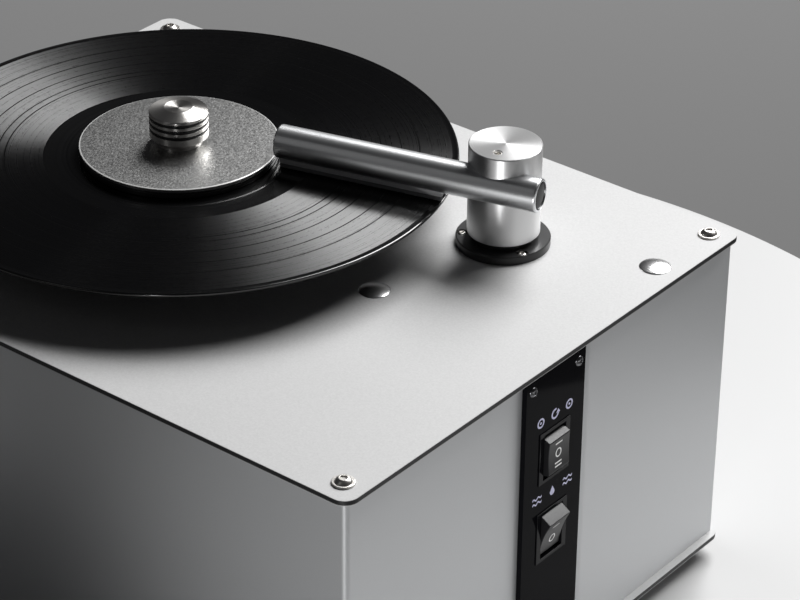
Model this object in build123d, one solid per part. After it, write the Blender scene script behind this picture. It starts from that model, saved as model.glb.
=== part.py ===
"""Vacuum record cleaning machine: cabinet, turntable, record clamp, suction arm, switches and vacuum unit.

Millimetres, +Z up, +X right, +Y back. Heights named above_ or below_ are counted from the top face of the
top panel. Every piece is built about the cabinet's own centre line; the last step moves all of them together
so that the frame's origin is the bottom centre of the whole machine.
"""
from math import cos, hypot, radians, sin
import os

from build123d import *

# --- clearances -----------------------------------------------------------------------------------
running_fit = 0.05            # radial, shaft in bore
free_gap = 0.3                # between pieces that pass each other
hole_gap = 0.25               # radial, fixed piece in its clearance hole
cut = 1.0                     # how far a cutter passes the face it leaves by
fine_edge = 0.4               # chamfer on turned pieces
soft_edge = 0.8               # chamfer on moulded pieces

# --- cabinet --------------------------------------------------------------------------------------
panel_w = 415.0               # X
panel_d = 330.0               # Y
panel_corner_r = 8.0
skin_t = 0.3
core_t = 2.4
overhang = 4.35               # panels past the walls
wall_t = 2.0
wall_h = 190.0
fold_r = 3.0                  # outside radius of the folded corners
foot_h = 10.0
foot_r = 12.5
foot_edge_r = 1.5
foot_inset_x = 19.5           # foot centre from the panel's edge
foot_inset_y = 17.5
post_inset = 13.0             # corner screw from both edges of the panel
post_edge = 1.2               # chamfer, clears the inside of the folds
rear_screw_low = 15.0         # lowest and highest rear screw from the ends of the wall
rear_screw_high = 22.0

# --- fasteners ------------------------------------------------------------------------------------
corner_shank_r = 2.5
corner_head_r = 4.6
corner_head_h = 2.6
corner_socket_r = 1.75
washer_r = 5.9
washer_t = 1.0
washer_edge = 0.3
small_shank_r = 1.5
small_head_r = 2.9
small_head_h = 1.6
small_socket_r = 1.1
socket_floor = 0.45           # floor of a hex socket, as a share of the head's height
shank_len = 12.0              # thread of a screw below its head
countersink_t = 1.6

# --- plugs in the top panel -----------------------------------------------------------------------
plug_insets = [(113.6, 171.6), (15.6, 59.1)]    # from the panel's right and back edges
plug_r = 8.5
plug_dome_h = 1.7
plug_stem_r = 6.5
plug_stem_t = 1.0
plug_stem_len = 7.0

# --- turntable ------------------------------------------------------------------------------------
turntable_inset = 156.5       # axis from the panel's left edge
turntable_y = 4.5             # axis behind the panel's middle
record_r = 150.8
record_t = 1.9
record_groove_t = 1.5         # thickness of the grooved area
record_label_r = 60.0
record_rim_w = 3.0
record_hole_r = 3.65
record_edge = 0.5
record_slope = 1.0            # width of the step between the grooved area and the label or rim
above_record = 27.0           # record's upper face
mat_r = 50.0
mat_t = 1.7
platter_r = 48.0
platter_t = 10.0
platter_edge = 2.0
platter_hub_r = 22.0
bearing_flange_r = 30.0
bearing_flange_t = 4.0
bearing_boss_r = 14.0
boss_depth = 25.0             # bottom of the bearing housing below the panel's top face
bush_r = 8.0
bush_flange_r = 11.0
bush_flange_t = 0.5
bearing_bolt_r = 25.0
bearing_bolt_angles = [45.0, 135.0, 225.0, 315.0]
spindle_r = 5.0
spindle_pin_r = 3.6
below_spindle = 38.0
spindle_tip_gap = 1.0         # above the tip, in the knob's bore
spindle_tip_edge = 1.0
coupling_r = 10.0
coupling_len = 15.0
motor_shaft_r = 4.0
bracket_w = 70.0
bracket_t = 3.0
bracket_h = 48.0
gearbox_r = 30.0
gearbox_h = 28.0
gear_can_r = 18.5
gear_can_h = 43.0
bracket_hole_gap = 2.0        # radial, round the coupling

# --- clamp ----------------------------------------------------------------------------------------
clamp_r = 54.0
clamp_t = 2.1
seal_t = 4.0
seal_w = 14.0
seal_inset = 0.8              # the seal's edge stands back under the disc
knob_r = 16.0
knob_foot_r = 12.0
knob_foot_h = 1.1
knob_waist_h = 4.9            # height where the foot's taper reaches the knob's full radius
knob_edge_h = 19.2
knob_h = 21.2                 # ridge round the hollow in the knob's end
knob_hollow_r = 7.7
knob_hollow_depth = 0.7
groove_centres = [9.4, 13.1, 16.6]
groove_w = 1.8
groove_depth = 1.7
ring_r = 0.85                 # section of a rubber grip ring
knob_bore_depth = 15.0

# --- suction arm ----------------------------------------------------------------------------------
arm_right = 165.5             # column's axis from the turntable's axis, to the right and to the back
arm_behind = 71.4
arm_angle = 195.72            # direction of the tube in plan, from +X
arm_offset = 13.74            # tube axis beside the column's axis
above_tube = 40.4             # tube axis
tube_r = 9.2
tube_bore_r = 7.7
tube_reach = 124.0            # fore end, from the point beside the column
tube_tail = 25.5              # rear end
tube_edge_r = 1.2
column_r = 19.5
above_column = 59.1
column_edge = 0.5
end_plug_len = 9.0
end_plug_sink = 0.2
flange_r = 25.3
flange_t = 4.6
flange_hub_r = 17.0
flange_hub_h = 7.4
flange_screw_r = 21.9
flange_screw_angles = [94.0, 214.0, 334.0]
flange_screw_sink = 1.2
flange_edge = 0.5
sleeve_r = 15.0
post_r = 12.0
post_bore_r = 9.5
above_post = 26.0
below_post = 40.0
washer_thrust_t = 1.0
chamber_r = 9.0
chamber_top = 48.0
spring_wire_r = 0.7
spring_mean_r = 10.6
spring_turns = 6
spring_len = 24.0
spring_gap = 0.05             # at each end
seat_t = 4.0                  # floor of the sleeve that carries the spring
spigot_r = 10.5
spigot_bore_r = 8.5
spigot_len = 22.0
set_screw_r = 2.5
set_screw_offset = 11.2       # from the column's axis
set_screw_socket_r = 1.4
set_screw_sink = 0.4
set_screw_socket_depth = 2.5
slot_w = 2.0
slot_from = 32.0
slot_end_gap = 6.0            # slot and pads short of the tube's fore end
pad_from = 28.3
pad_end_gap = 2.5
pad_inner = 1.3               # inner and outer side of each pad, from the tube's middle plane
pad_outer = 4.9
carrier_drop = 1.3            # carrier's underside below the tube
port_r = 5.0

# --- control panel and switches -------------------------------------------------------------------
strip_w = 49.6
strip_y = 0.5                 # centre
strip_t = 2.95
strip_end_gap = 0.5
strip_screw_pitch = 38.4
strip_screw_drop = 7.5        # below the strip's top edge, and above its lower edge
switch_w = 25.5
switch_h = 31.0
bezel_t = 0.6
bezel_edge = 0.3
switch_body_w = 24.0
switch_body_h = 29.6
switch_body_depth = 20.0
below_motor_switch = 55.5
below_vacuum_switch = 104.5
rocker_end_r = 13.2           # the well clears this radius about the pivot
rocker_w = 17.5
rocker_corners = {"motor": (5.8, 9.7), "vacuum": (4.9, 11.2)}     # beyond the pivot, from its middle
rocker_hollow = {"motor": 0.6, "vacuum": 1.15}                    # middle of its face below the corners
rocker_pivot_depth = 2.6      # pivot below the bezel's face
rocker_side_gap = 0.4
rocker_tilt = 17.5            # vacuum rocker at rest
rocker_pin_r = 1.5
rocker_pin_len = 1.7
rocker_tip_r = 0.4
rocker_end_depth = 2.2        # behind the pivot, where the flat ends stop
rocker_end_half = 12.9        # half height there
rocker_root = 4.0             # depth and half height of the block behind the pivot
rocker_well_depth = 9.2       # behind the pivot

# --- vacuum unit ----------------------------------------------------------------------------------
tank_w = 170.0
tank_d = 95.0
tank_h = 92.0
tank_wall = 2.5
tank_lid_t = 3.0
tank_gap_left = 15.15         # to the left wall and to the rear panel
tank_gap_back = 8.65
below_hose = 125.0            # level run of the suction hose
hose_wall = 3.0
hose_bend_r = 36.0
hose_gap = 1.0                # hose end to the shoulder of its spigot
fan_inset = 66.15             # axis from the left wall
fan_lift = 8.0                # drum above the bottom panel
fan_r = 55.0
fan_len = 35.0
fan_wall = 1.5
fan_gap = 33.0                # tank's front to the fan's intake face
fan_spigot_r = 17.0
fan_spigot_bore = 15.0
fan_spigot_len = 16.0
fan_sleeve_wall = 2.5
fan_sleeve_gap = 3.0          # at each end of the sleeve
tank_spigot_len = 13.0
fan_window_angles = [-30.0, 0.0, 30.0]
fan_window_w = 14.0
fan_window_edge = 8.5         # window to each end of the drum
impeller_r = 50.0
impeller_hub_r = 10.0
impeller_plate_t = 2.0
blade_t = 1.4
blade_len = 18.0
blade_count = 9
blade_root = 2.0              # blade let into the hub
blade_tip_gap = 1.0           # blade short of the disc's edge
impeller_gap = 5.0            # disc above the cradle
fan_shaft_r = 4.0
armature_r = 22.0
armature_len = 40.0
fan_case_r = 40.0
fan_case_len = 69.0
fan_case_wall = 3.0
cradle_t = 3.0
cradle_w = 112.0
cradle_foot = 30.0
cradle_hole_r = 7.0
shaft_end_wall = 1.0          # case left behind the shaft's end
drain_inset = 76.0            # from the tank's left side
drain_h = 14.0                # above the bottom panel
drain_r = 10.0
drain_bore_r = 7.2
drain_plug_r = 11.5
drain_plug_t = 3.2
drain_stem_len = 9.0

# --- rear -----------------------------------------------------------------------------------------
inlet_inset = 71.15           # middle from the right wall
below_inlet = 150.0
inlet_w = 32.0
inlet_h = 25.0
inlet_flange_t = 2.5
inlet_body_w = 27.6
inlet_body_h = 20.6
inlet_body_depth = 22.0
socket_w = 24.2
socket_h = 16.6
socket_depth = 16.0
socket_chamfer = 4.5
inlet_pin_w = 2.0
inlet_pin_h = 4.0
inlet_pin_len = 9.5
inlet_pin_places = [(-7.0, -2.0), (0.0, 2.0), (7.0, -2.0)]
vent_count = 12
vent_w = 3.0
vent_h = 44.0
vent_pitch = 9.0
vent_inset = 51.15            # first slot from the left wall
below_vent = 62.0             # middle of the slots

# --- power supply ---------------------------------------------------------------------------------
board_gap_right = 51.15       # to the right wall and to the front wall
board_gap_front = 33.65
board_w = 90.0
board_d = 70.0
board_t = 1.6
stand_off_h = 8.0
stand_off_r = 3.0
stand_off_inset = 5.0
transformer_size = (36.0, 32.0, 28.0)
capacitor_r = 8.0
capacitor_h = 26.0
transformer_inset = 10.0      # from the board's left edge
capacitor_from = 20.0         # right of the board's middle
capacitor_side = 12.0         # each side of the board's middle
wire_r = 1.5
wire_bend_r = 10.0
wire_side = 5.0               # switch wires each side of the switches' middle
wire_back = 20.0              # motor switch wire behind its switch
second_wire_back = 40.0       # vacuum switch wire behind its switch
inlet_wire_gap = 38.0         # mains wire in front of the inlet's body
board_wires = {"mains": 25.0, "motor": 10.0, "vacuum": 20.0, "turntable": 25.0, "fan": -20.0}
wire_tail = 5.0               # wire over the board's left edge
wire_board_inset = 10.0       # motor switch wire, from the board's right edge
turntable_wire_run = 30.0     # wires left of the board's edge, to the turntable motor and the fan motor
gear_wire_drop = 20.0         # below the gearbox
fan_wire_side = 70.0          # right of the fan's axis
fan_wire_inset = 12.0         # in front of the cradle

# --- worked out -----------------------------------------------------------------------------------
panel_t = core_t + 2 * skin_t
floor_z = foot_h + panel_t                      # top of the bottom panel
ceiling_z = floor_z + wall_h                    # underside of the top panel
top_z = ceiling_z + panel_t                     # top face of the top panel
wall_x = panel_w / 2 - overhang                 # outer faces of the walls
wall_y = panel_d / 2 - overhang
inner_x = wall_x - wall_t
inner_y = wall_y - wall_t
post_x = panel_w / 2 - post_inset
post_y = panel_d / 2 - post_inset
post_half = min(inner_x - post_x, inner_y - post_y)
plug_places = [(panel_w / 2 - dx, panel_d / 2 - dy) for dx, dy in plug_insets]
turntable_x = turntable_inset - panel_w / 2
arm_x = turntable_x + arm_right
arm_y = turntable_y + arm_behind
corners = [(sx, sy) for sx in (-1, 1) for sy in (-1, 1)]

record_z = top_z + above_record                 # upper face
mat_top_z = record_z - record_t
platter_top_z = mat_top_z - mat_t
hub_bottom_z = top_z + bearing_flange_t + bush_flange_t
bracket_top_z = ceiling_z
bracket_floor_z = bracket_top_z - bracket_h
clamp_bottom_z = record_z + seal_t
clamp_top_z = clamp_bottom_z + clamp_t
spindle_tip_z = clamp_top_z + knob_bore_depth - spindle_tip_gap

tube_z = top_z + above_tube
column_bottom_z = top_z + flange_hub_h + free_gap
post_top_z = top_z + above_post
post_bottom_z = top_z - below_post
spring_floor_z = post_bottom_z - spring_len
sleeve_bottom_z = spring_floor_z - seat_t
pad_to = tube_reach - pad_end_gap
slot_to = tube_reach - slot_end_gap
pad_bottom_z = record_z + free_gap
carrier_bottom_z = tube_z - tube_r - carrier_drop

strip_face_x = wall_x + strip_t
bezel_face_x = strip_face_x + bezel_t
pivot_x = bezel_face_x - rocker_pivot_depth
switches = {"motor": top_z - below_motor_switch, "vacuum": top_z - below_vacuum_switch}

tank_left = tank_gap_left - inner_x
tank_right = tank_left + tank_w
tank_back = inner_y - tank_gap_back
tank_front = tank_back - tank_d
tank_top_z = floor_z + tank_h
drain_x = tank_left + drain_inset
drain_z = floor_z + drain_h
fan_x = fan_inset - inner_x
fan_z = floor_z + fan_lift + fan_r
fan_front = tank_front - fan_gap                # Y of the fan's intake face
fan_back = fan_front - fan_len                  # Y of the cradle's face
case_front = fan_back - cradle_t
hose_z = top_z - below_hose
inlet_x = inner_x - inlet_inset
inlet_z = top_z - below_inlet

arm_dir = Vector(cos(radians(arm_angle)), sin(radians(arm_angle)), 0)
arm_side = Vector(-arm_dir.Y, arm_dir.X, 0)
tube_plane = Plane(
    origin=Vector(arm_x, arm_y, tube_z) + arm_side * arm_offset, x_dir=arm_side, z_dir=arm_dir)


# --- shared shapes --------------------------------------------------------------------------------
def block(x0, x1, y0, y1, z0, z1):
    """Box between two corners."""
    return Pos((x0 + x1) / 2, (y0 + y1) / 2, (z0 + z1) / 2) * Box(x1 - x0, y1 - y0, z1 - z0)


def upright(radius, z0, z1, x=0.0, y=0.0):
    """Cylinder along Z."""
    return Pos(x, y, (z0 + z1) / 2) * Cylinder(radius, z1 - z0)


def along_y(radius, y0, y1, x, z):
    """Cylinder along Y."""
    return Pos(x, (y0 + y1) / 2, z) * Rot(90, 0, 0) * Cylinder(radius, y1 - y0)


def along_x(radius, x0, x1, y, z):
    """Cylinder along X."""
    return Pos((x0 + x1) / 2, y, z) * Rot(0, 90, 0) * Cylinder(radius, x1 - x0)


def turned(points, x=0.0, y=0.0, z=0.0):
    """Solid of revolution about Z from (radius, height) points, which go round the half section."""
    section = make_face(Plane.XZ * Polyline(*points, close=True))
    return Pos(x, y, z) * revolve(section, Axis.Z)


def sheet(thickness, z0):
    """Panel outline with rounded corners."""
    return Pos(0, 0, z0) * extrude(RectangleRounded(panel_w, panel_d, panel_corner_r), thickness)


def button_screw(head_r, head_h, shank_r, socket_r, length):
    """Dome-headed socket screw: the head's seat is at z = 0, and the shank points down."""
    dome_r = (head_r ** 2 + head_h ** 2) / (2 * head_h)
    dome = Pos(0, 0, head_h - dome_r) * Sphere(dome_r) & upright(head_r, 0, head_h)
    screw = dome + upright(shank_r, -length, 0)
    socket = extrude(RegularPolygon(socket_r, 6, major_radius=False), head_h)
    return screw - Pos(0, 0, head_h * socket_floor) * socket


def facing(shape, direction):
    """Turns a piece built along +Z to point along another axis."""
    turns = {"+X": Rot(0, 90, 0), "+Y": Rot(-90, 0, 0)}
    return turns[direction] * shape


def bolt_circle(x, y, radius, angles):
    """Places on a circle about (x, y)."""
    return [(x + radius * cos(radians(a)), y + radius * sin(radians(a))) for a in angles]


def group(shapes):
    """Separate solids kept together as one node."""
    return Compound([solid for shape in shapes for solid in shape.solids()])


pieces = {}


# --- cabinet --------------------------------------------------------------------------------------
corner_screw = button_screw(corner_head_r, corner_head_h, corner_shank_r, corner_socket_r,
                            panel_t + washer_t + shank_len)
small_screw = button_screw(small_head_r, small_head_h, small_shank_r, small_socket_r, shank_len)
flange_places = bolt_circle(arm_x, arm_y, flange_screw_r, flange_screw_angles)
bearing_places = bolt_circle(turntable_x, turntable_y, bearing_bolt_r, bearing_bolt_angles)


def top_panel_layer(thickness, z0):
    """One layer of the top panel with every hole that passes through it."""
    layer = sheet(thickness, z0)
    z1 = z0 + thickness
    holes = [(corner_shank_r + hole_gap, sx * post_x, sy * post_y) for sx, sy in corners]
    holes += [(plug_stem_r + hole_gap, x, y) for x, y in plug_places]
    holes += [(small_shank_r + hole_gap, x, y) for x, y in flange_places + bearing_places]
    holes += [(bearing_boss_r + hole_gap, turntable_x, turntable_y), (sleeve_r + hole_gap, arm_x, arm_y)]
    for radius, x, y in holes:
        layer -= upright(radius, z0, z1, x, y)
    return layer


pieces["top_panel_core"] = top_panel_layer(core_t, ceiling_z + skin_t)
pieces["top_panel_skins"] = group(
    [top_panel_layer(skin_t, ceiling_z), top_panel_layer(skin_t, top_z - skin_t)])


def countersunk_cone():
    """Head of a bottom screw, flush with the bottom panel's underside."""
    return Pos(0, 0, foot_h + countersink_t / 2) * Cone(corner_head_r, corner_shank_r, countersink_t)


def bottom_panel_layer(thickness, z0):
    """One layer of the bottom panel with the countersunk holes of the posts' screws."""
    layer = sheet(thickness, z0)
    for sx, sy in corners:
        seat = countersunk_cone() + upright(corner_shank_r + hole_gap, foot_h + countersink_t, floor_z)
        layer -= Pos(sx * post_x, sy * post_y, 0) * seat
    return layer


pieces["bottom_panel_core"] = bottom_panel_layer(core_t, foot_h + skin_t)
pieces["bottom_panel_skins"] = group(
    [bottom_panel_layer(skin_t, foot_h), bottom_panel_layer(skin_t, floor_z - skin_t)])

# The outlines run on past the rear panel, with their own rounded corners, and are cut off flush with it.
past_back = 2 * fold_r
wrap_middle = Pos(0, past_back / 2)
wrap_outline = wrap_middle * RectangleRounded(2 * wall_x, 2 * wall_y + past_back, fold_r)
wrap_inside = wrap_middle * RectangleRounded(2 * inner_x, 2 * inner_y + past_back, fold_r - wall_t)
open_back = Pos(0, wall_y + past_back) * Rectangle(2 * wall_x + 2 * cut, 2 * past_back)
wrap = Pos(0, 0, floor_z) * extrude(wrap_outline - wrap_inside - open_back, wall_h)
for height in switches.values():
    wrap -= block(inner_x - cut, wall_x + cut, strip_y - switch_body_w / 2 - hole_gap,
                  strip_y + switch_body_w / 2 + hole_gap,
                  height - switch_body_h / 2 - hole_gap, height + switch_body_h / 2 + hole_gap)
strip_top_z = ceiling_z - strip_end_gap
strip_bottom_z = floor_z + strip_end_gap
strip_screw_places = [(strip_y + side * strip_screw_pitch / 2, z) for side in (-1, 1)
                      for z in (strip_top_z - strip_screw_drop, strip_bottom_z + strip_screw_drop)]
for y, z in strip_screw_places:
    wrap -= along_x(small_shank_r + hole_gap, inner_x - cut, wall_x + cut, y, z)
pieces["cabinet_wrap"] = wrap

rear_screw_heights = [floor_z + rear_screw_low, (floor_z + ceiling_z) / 2, ceiling_z - rear_screw_high]
rear_screw_places = [(sx * post_x, z) for sx in (-1, 1) for z in rear_screw_heights]
rear = block(-inner_x, inner_x, inner_y, wall_y, floor_z, ceiling_z)
for i in range(vent_count):
    slot_x = vent_inset - inner_x + i * vent_pitch
    slot = SlotOverall(vent_h, vent_w, rotation=90)
    rear -= Pos(slot_x, wall_y + cut, top_z - below_vent) * Rot(90, 0, 0) * extrude(slot, wall_t + 2 * cut)
for x, z in rear_screw_places:
    rear -= along_y(small_shank_r + hole_gap, inner_y - cut, wall_y + cut, x, z)
rear -= along_y(drain_r, inner_y - cut, wall_y + cut, drain_x, drain_z)
rear -= block(inlet_x - inlet_body_w / 2, inlet_x + inlet_body_w / 2, inner_y - cut, wall_y + cut,
              inlet_z - inlet_body_h / 2, inlet_z + inlet_body_h / 2)
pieces["rear_panel"] = rear
pieces["rear_screws"] = group([Pos(x, wall_y, z) * facing(small_screw, "+Y") for x, z in rear_screw_places])


def corner_post(sx, sy):
    """Square bar with a tapped hole in each end and, on the rear bars, for the rear panel's screws."""
    x, y = sx * post_x, sy * post_y
    post = block(x - post_half, x + post_half, y - post_half, y + post_half, floor_z, ceiling_z)
    post = chamfer(post.edges().filter_by(Axis.Z), post_edge)
    post -= upright(corner_shank_r, ceiling_z - shank_len, ceiling_z, x, y)
    post -= upright(corner_shank_r, floor_z, floor_z + shank_len - panel_t, x, y)
    if sy > 0:
        for hole_x, hole_z in rear_screw_places:
            if hole_x * sx > 0:
                post -= along_y(small_shank_r, wall_y - shank_len, wall_y, hole_x, hole_z)
    return post


pieces["corner_posts"] = group([corner_post(sx, sy) for sx, sy in corners])
pieces["top_screws"] = group(
    [Pos(sx * post_x, sy * post_y, top_z + washer_t) * corner_screw for sx, sy in corners])
washer = upright(washer_r, 0, washer_t) - upright(corner_shank_r, 0, washer_t)
washer = chamfer(washer.edges().group_by(Axis.Z)[-1].sort_by(SortBy.RADIUS)[-1], washer_edge)
pieces["top_washers"] = group([Pos(sx * post_x, sy * post_y, top_z) * washer for sx, sy in corners])
bottom_screw = countersunk_cone() + upright(corner_shank_r, foot_h + countersink_t, foot_h + shank_len)
pieces["bottom_screws"] = group([Pos(sx * post_x, sy * post_y, 0) * bottom_screw for sx, sy in corners])

foot = upright(foot_r, 0, foot_h)
foot = fillet(foot.edges().group_by(Axis.Z)[0], foot_edge_r)
foot_x = panel_w / 2 - foot_inset_x
foot_y = panel_d / 2 - foot_inset_y
pieces["feet"] = group([Pos(sx * foot_x, sy * foot_y, 0) * foot for sx, sy in corners])

plug_dome_r = (plug_r ** 2 + plug_dome_h ** 2) / (2 * plug_dome_h)
plug = Pos(0, 0, plug_dome_h - plug_dome_r) * Sphere(plug_dome_r) & upright(plug_r, 0, plug_dome_h)
plug += upright(plug_stem_r, -plug_stem_len, 0) - upright(plug_stem_r - plug_stem_t, -plug_stem_len, 0)
pieces["hole_plugs"] = group([Pos(x, y, top_z) * plug for x, y in plug_places])


# --- control panel and switches -------------------------------------------------------------------
strip = block(
    wall_x, strip_face_x, strip_y - strip_w / 2, strip_y + strip_w / 2, strip_bottom_z, strip_top_z)
for height in switches.values():
    strip -= block(wall_x, strip_face_x, strip_y - switch_body_w / 2, strip_y + switch_body_w / 2,
                   height - switch_body_h / 2, height + switch_body_h / 2)
for y, z in strip_screw_places:
    strip -= along_x(small_shank_r + hole_gap, wall_x, strip_face_x, y, z)
pieces["control_panel"] = strip
pieces["control_panel_screws"] = group(
    [Pos(strip_face_x, y, z) * facing(small_screw, "+X") for y, z in strip_screw_places])


def rocker(name, tilt):
    """Rocker about its pivot at the origin: face towards +X, length along Z, tilted about Y."""
    out, half = rocker_corners[name]
    section = make_face(Plane.XZ * Polyline(
        (out, half), (out - rocker_hollow[name], 0), (out, -half), (-rocker_end_depth, -rocker_end_half),
        (-rocker_root, -rocker_root), (-rocker_root, rocker_root), (-rocker_end_depth, rocker_end_half),
        close=True))
    body = extrude(section, rocker_w / 2, both=True)
    body = fillet(body.edges().filter_by(Axis.Y).group_by(Axis.X)[-1], rocker_tip_r)
    reach = rocker_w / 2 + rocker_pin_len
    return Rot(0, tilt, 0) * (body + along_y(rocker_pin_r, -reach, reach, 0, 0))


def switch_housing(height):
    """Moulded switch body with its bezel, open in front for the rocker and bored for its pivot pins."""
    body = block(strip_face_x - switch_body_depth, strip_face_x, strip_y - switch_body_w / 2,
                 strip_y + switch_body_w / 2, height - switch_body_h / 2, height + switch_body_h / 2)
    bezel = block(strip_face_x, bezel_face_x, strip_y - switch_w / 2, strip_y + switch_w / 2,
                  height - switch_h / 2, height + switch_h / 2)
    bezel = chamfer(bezel.faces().sort_by(Axis.X)[-1].edges(), bezel_edge)
    half_w = rocker_w / 2 + rocker_side_gap
    half_h = rocker_end_r + rocker_side_gap
    well = block(pivot_x - rocker_well_depth, bezel_face_x, strip_y - half_w, strip_y + half_w,
                 height - half_h, height + half_h)
    pins = along_y(rocker_pin_r + running_fit, strip_y - rocker_w / 2 - rocker_pin_len - running_fit,
                   strip_y + rocker_w / 2 + rocker_pin_len + running_fit, pivot_x, height)
    return body + bezel - well - pins


for name, height in switches.items():
    pieces[name + "_switch_housing"] = switch_housing(height)
pieces["motor_rocker"] = Pos(pivot_x, strip_y, switches["motor"]) * rocker("motor", 0)
pieces["vacuum_rocker"] = Pos(pivot_x, strip_y, switches["vacuum"]) * rocker("vacuum", rocker_tilt)


# --- turntable ------------------------------------------------------------------------------------
bearing = upright(bearing_flange_r, top_z, top_z + bearing_flange_t)
bearing += upright(bearing_boss_r, top_z - boss_depth, top_z)
bearing -= upright(bush_r, top_z - boss_depth, top_z + bearing_flange_t)
bearing = Pos(turntable_x, turntable_y, 0) * bearing
for x, y in bearing_places:
    bearing -= upright(small_shank_r + hole_gap, top_z, top_z + bearing_flange_t, x, y)
pieces["bearing_housing"] = bearing
bush = upright(bush_r, top_z - boss_depth, top_z + bearing_flange_t)
bush += upright(bush_flange_r, top_z + bearing_flange_t, hub_bottom_z)
bush -= upright(spindle_r + running_fit, top_z - boss_depth, hub_bottom_z)
pieces["spindle_bush"] = Pos(turntable_x, turntable_y, 0) * bush
pieces["bearing_screws"] = group(
    [Pos(x, y, top_z + bearing_flange_t) * small_screw for x, y in bearing_places])

shoulder_z = platter_top_z - platter_t / 2
spindle = upright(spindle_r, top_z - below_spindle, shoulder_z)
spindle += upright(spindle_pin_r, shoulder_z, spindle_tip_z)
spindle = chamfer(spindle.edges().group_by(Axis.Z)[-1], spindle_tip_edge)
pieces["spindle"] = Pos(turntable_x, turntable_y, 0) * spindle

hub_top_z = platter_top_z - platter_t
platter = turned([
    (spindle_r, hub_bottom_z), (platter_hub_r, hub_bottom_z), (platter_hub_r, hub_top_z),
    (platter_r - platter_edge, hub_top_z), (platter_r, hub_top_z + platter_edge), (platter_r, platter_top_z),
    (spindle_pin_r, platter_top_z), (spindle_pin_r, shoulder_z), (spindle_r, shoulder_z)],
    turntable_x, turntable_y)
pieces["platter"] = platter
mat = upright(mat_r, platter_top_z, mat_top_z) - upright(spindle_pin_r, platter_top_z, mat_top_z)
pieces["platter_mat"] = Pos(turntable_x, turntable_y, 0) * mat

groove_sink = (record_t - record_groove_t) / 2
rim_r = record_r - record_rim_w
record = turned([
    (record_hole_r, -record_t), (record_label_r, -record_t),
    (record_label_r + record_slope, groove_sink - record_t), (rim_r - record_slope, groove_sink - record_t),
    (rim_r, -record_t), (record_r - record_edge, -record_t), (record_r, record_edge - record_t),
    (record_r, -record_edge), (record_r - record_edge, 0), (rim_r, 0), (rim_r - record_slope, -groove_sink),
    (record_label_r + record_slope, -groove_sink), (record_label_r, 0), (record_hole_r, 0)],
    turntable_x, turntable_y, record_z)
pieces["record"] = record

coupling_top_z = top_z - below_spindle + coupling_len / 2
coupling = upright(coupling_r, coupling_top_z - coupling_len, coupling_top_z)
coupling -= upright(spindle_r, top_z - below_spindle, coupling_top_z)
coupling -= upright(motor_shaft_r, coupling_top_z - coupling_len, top_z - below_spindle)
pieces["drive_coupling"] = Pos(turntable_x, turntable_y, 0) * coupling
gearbox_top_z = bracket_floor_z - bracket_t
shaft_bottom_z = gearbox_top_z - gearbox_h / 2
pieces["motor_shaft"] = upright(
    motor_shaft_r, shaft_bottom_z, top_z - below_spindle, turntable_x, turntable_y)
gear_motor = upright(gearbox_r, gearbox_top_z - gearbox_h, gearbox_top_z)
gear_motor += upright(gear_can_r, gearbox_top_z - gearbox_h - gear_can_h, gearbox_top_z - gearbox_h)
gear_motor -= upright(motor_shaft_r + running_fit, shaft_bottom_z - free_gap, gearbox_top_z)
pieces["gear_motor"] = Pos(turntable_x, turntable_y, 0) * gear_motor

half = bracket_w / 2
bracket = block(-half, half, -half, half, bracket_floor_z - bracket_t, bracket_top_z)
bracket -= block(
    -half + bracket_t, half - bracket_t, -half, half, bracket_floor_z, bracket_top_z - bracket_t)
bracket -= upright(bearing_boss_r + hole_gap, bracket_top_z - bracket_t, bracket_top_z)
bracket -= upright(coupling_r + bracket_hole_gap, bracket_floor_z - bracket_t, bracket_floor_z)
bracket = Pos(turntable_x, turntable_y, 0) * bracket
for x, y in bearing_places:
    bracket -= upright(small_shank_r, bracket_top_z - bracket_t, bracket_top_z, x, y)
pieces["motor_bracket"] = bracket


# --- clamp ----------------------------------------------------------------------------------------
bore = spindle_pin_r + free_gap
disc = upright(clamp_r, clamp_bottom_z, clamp_top_z) - upright(bore, clamp_bottom_z, clamp_top_z)
disc = chamfer(disc.edges().group_by(Axis.Z)[-1].sort_by(SortBy.RADIUS)[-1], fine_edge)
pieces["clamp_disc"] = Pos(turntable_x, turntable_y, 0) * disc
seal_r = clamp_r - seal_inset
seal = upright(seal_r, record_z, clamp_bottom_z) - upright(seal_r - seal_w, record_z, clamp_bottom_z)
pieces["clamp_seal"] = Pos(turntable_x, turntable_y, 0) * seal

groove_floor_r = knob_r - groove_depth
profile = [(bore, 0), (knob_foot_r, 0), (knob_foot_r, knob_foot_h), (knob_r, knob_waist_h)]
for centre in groove_centres:
    low, high = centre - groove_w / 2, centre + groove_w / 2
    profile += [(knob_r, low), (groove_floor_r, low), (groove_floor_r, high), (knob_r, high)]
profile += [(knob_r, knob_edge_h - fine_edge), (knob_r - fine_edge, knob_edge_h),
            (knob_hollow_r, knob_h), (0, knob_h - knob_hollow_depth), (0, knob_bore_depth),
            (bore, knob_bore_depth)]
pieces["clamp_knob"] = turned(profile, turntable_x, turntable_y, clamp_top_z)
grip_ring = Torus(groove_floor_r + ring_r, ring_r)
pieces["knob_rings"] = group(
    [Pos(turntable_x, turntable_y, clamp_top_z + height) * grip_ring for height in groove_centres])


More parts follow.
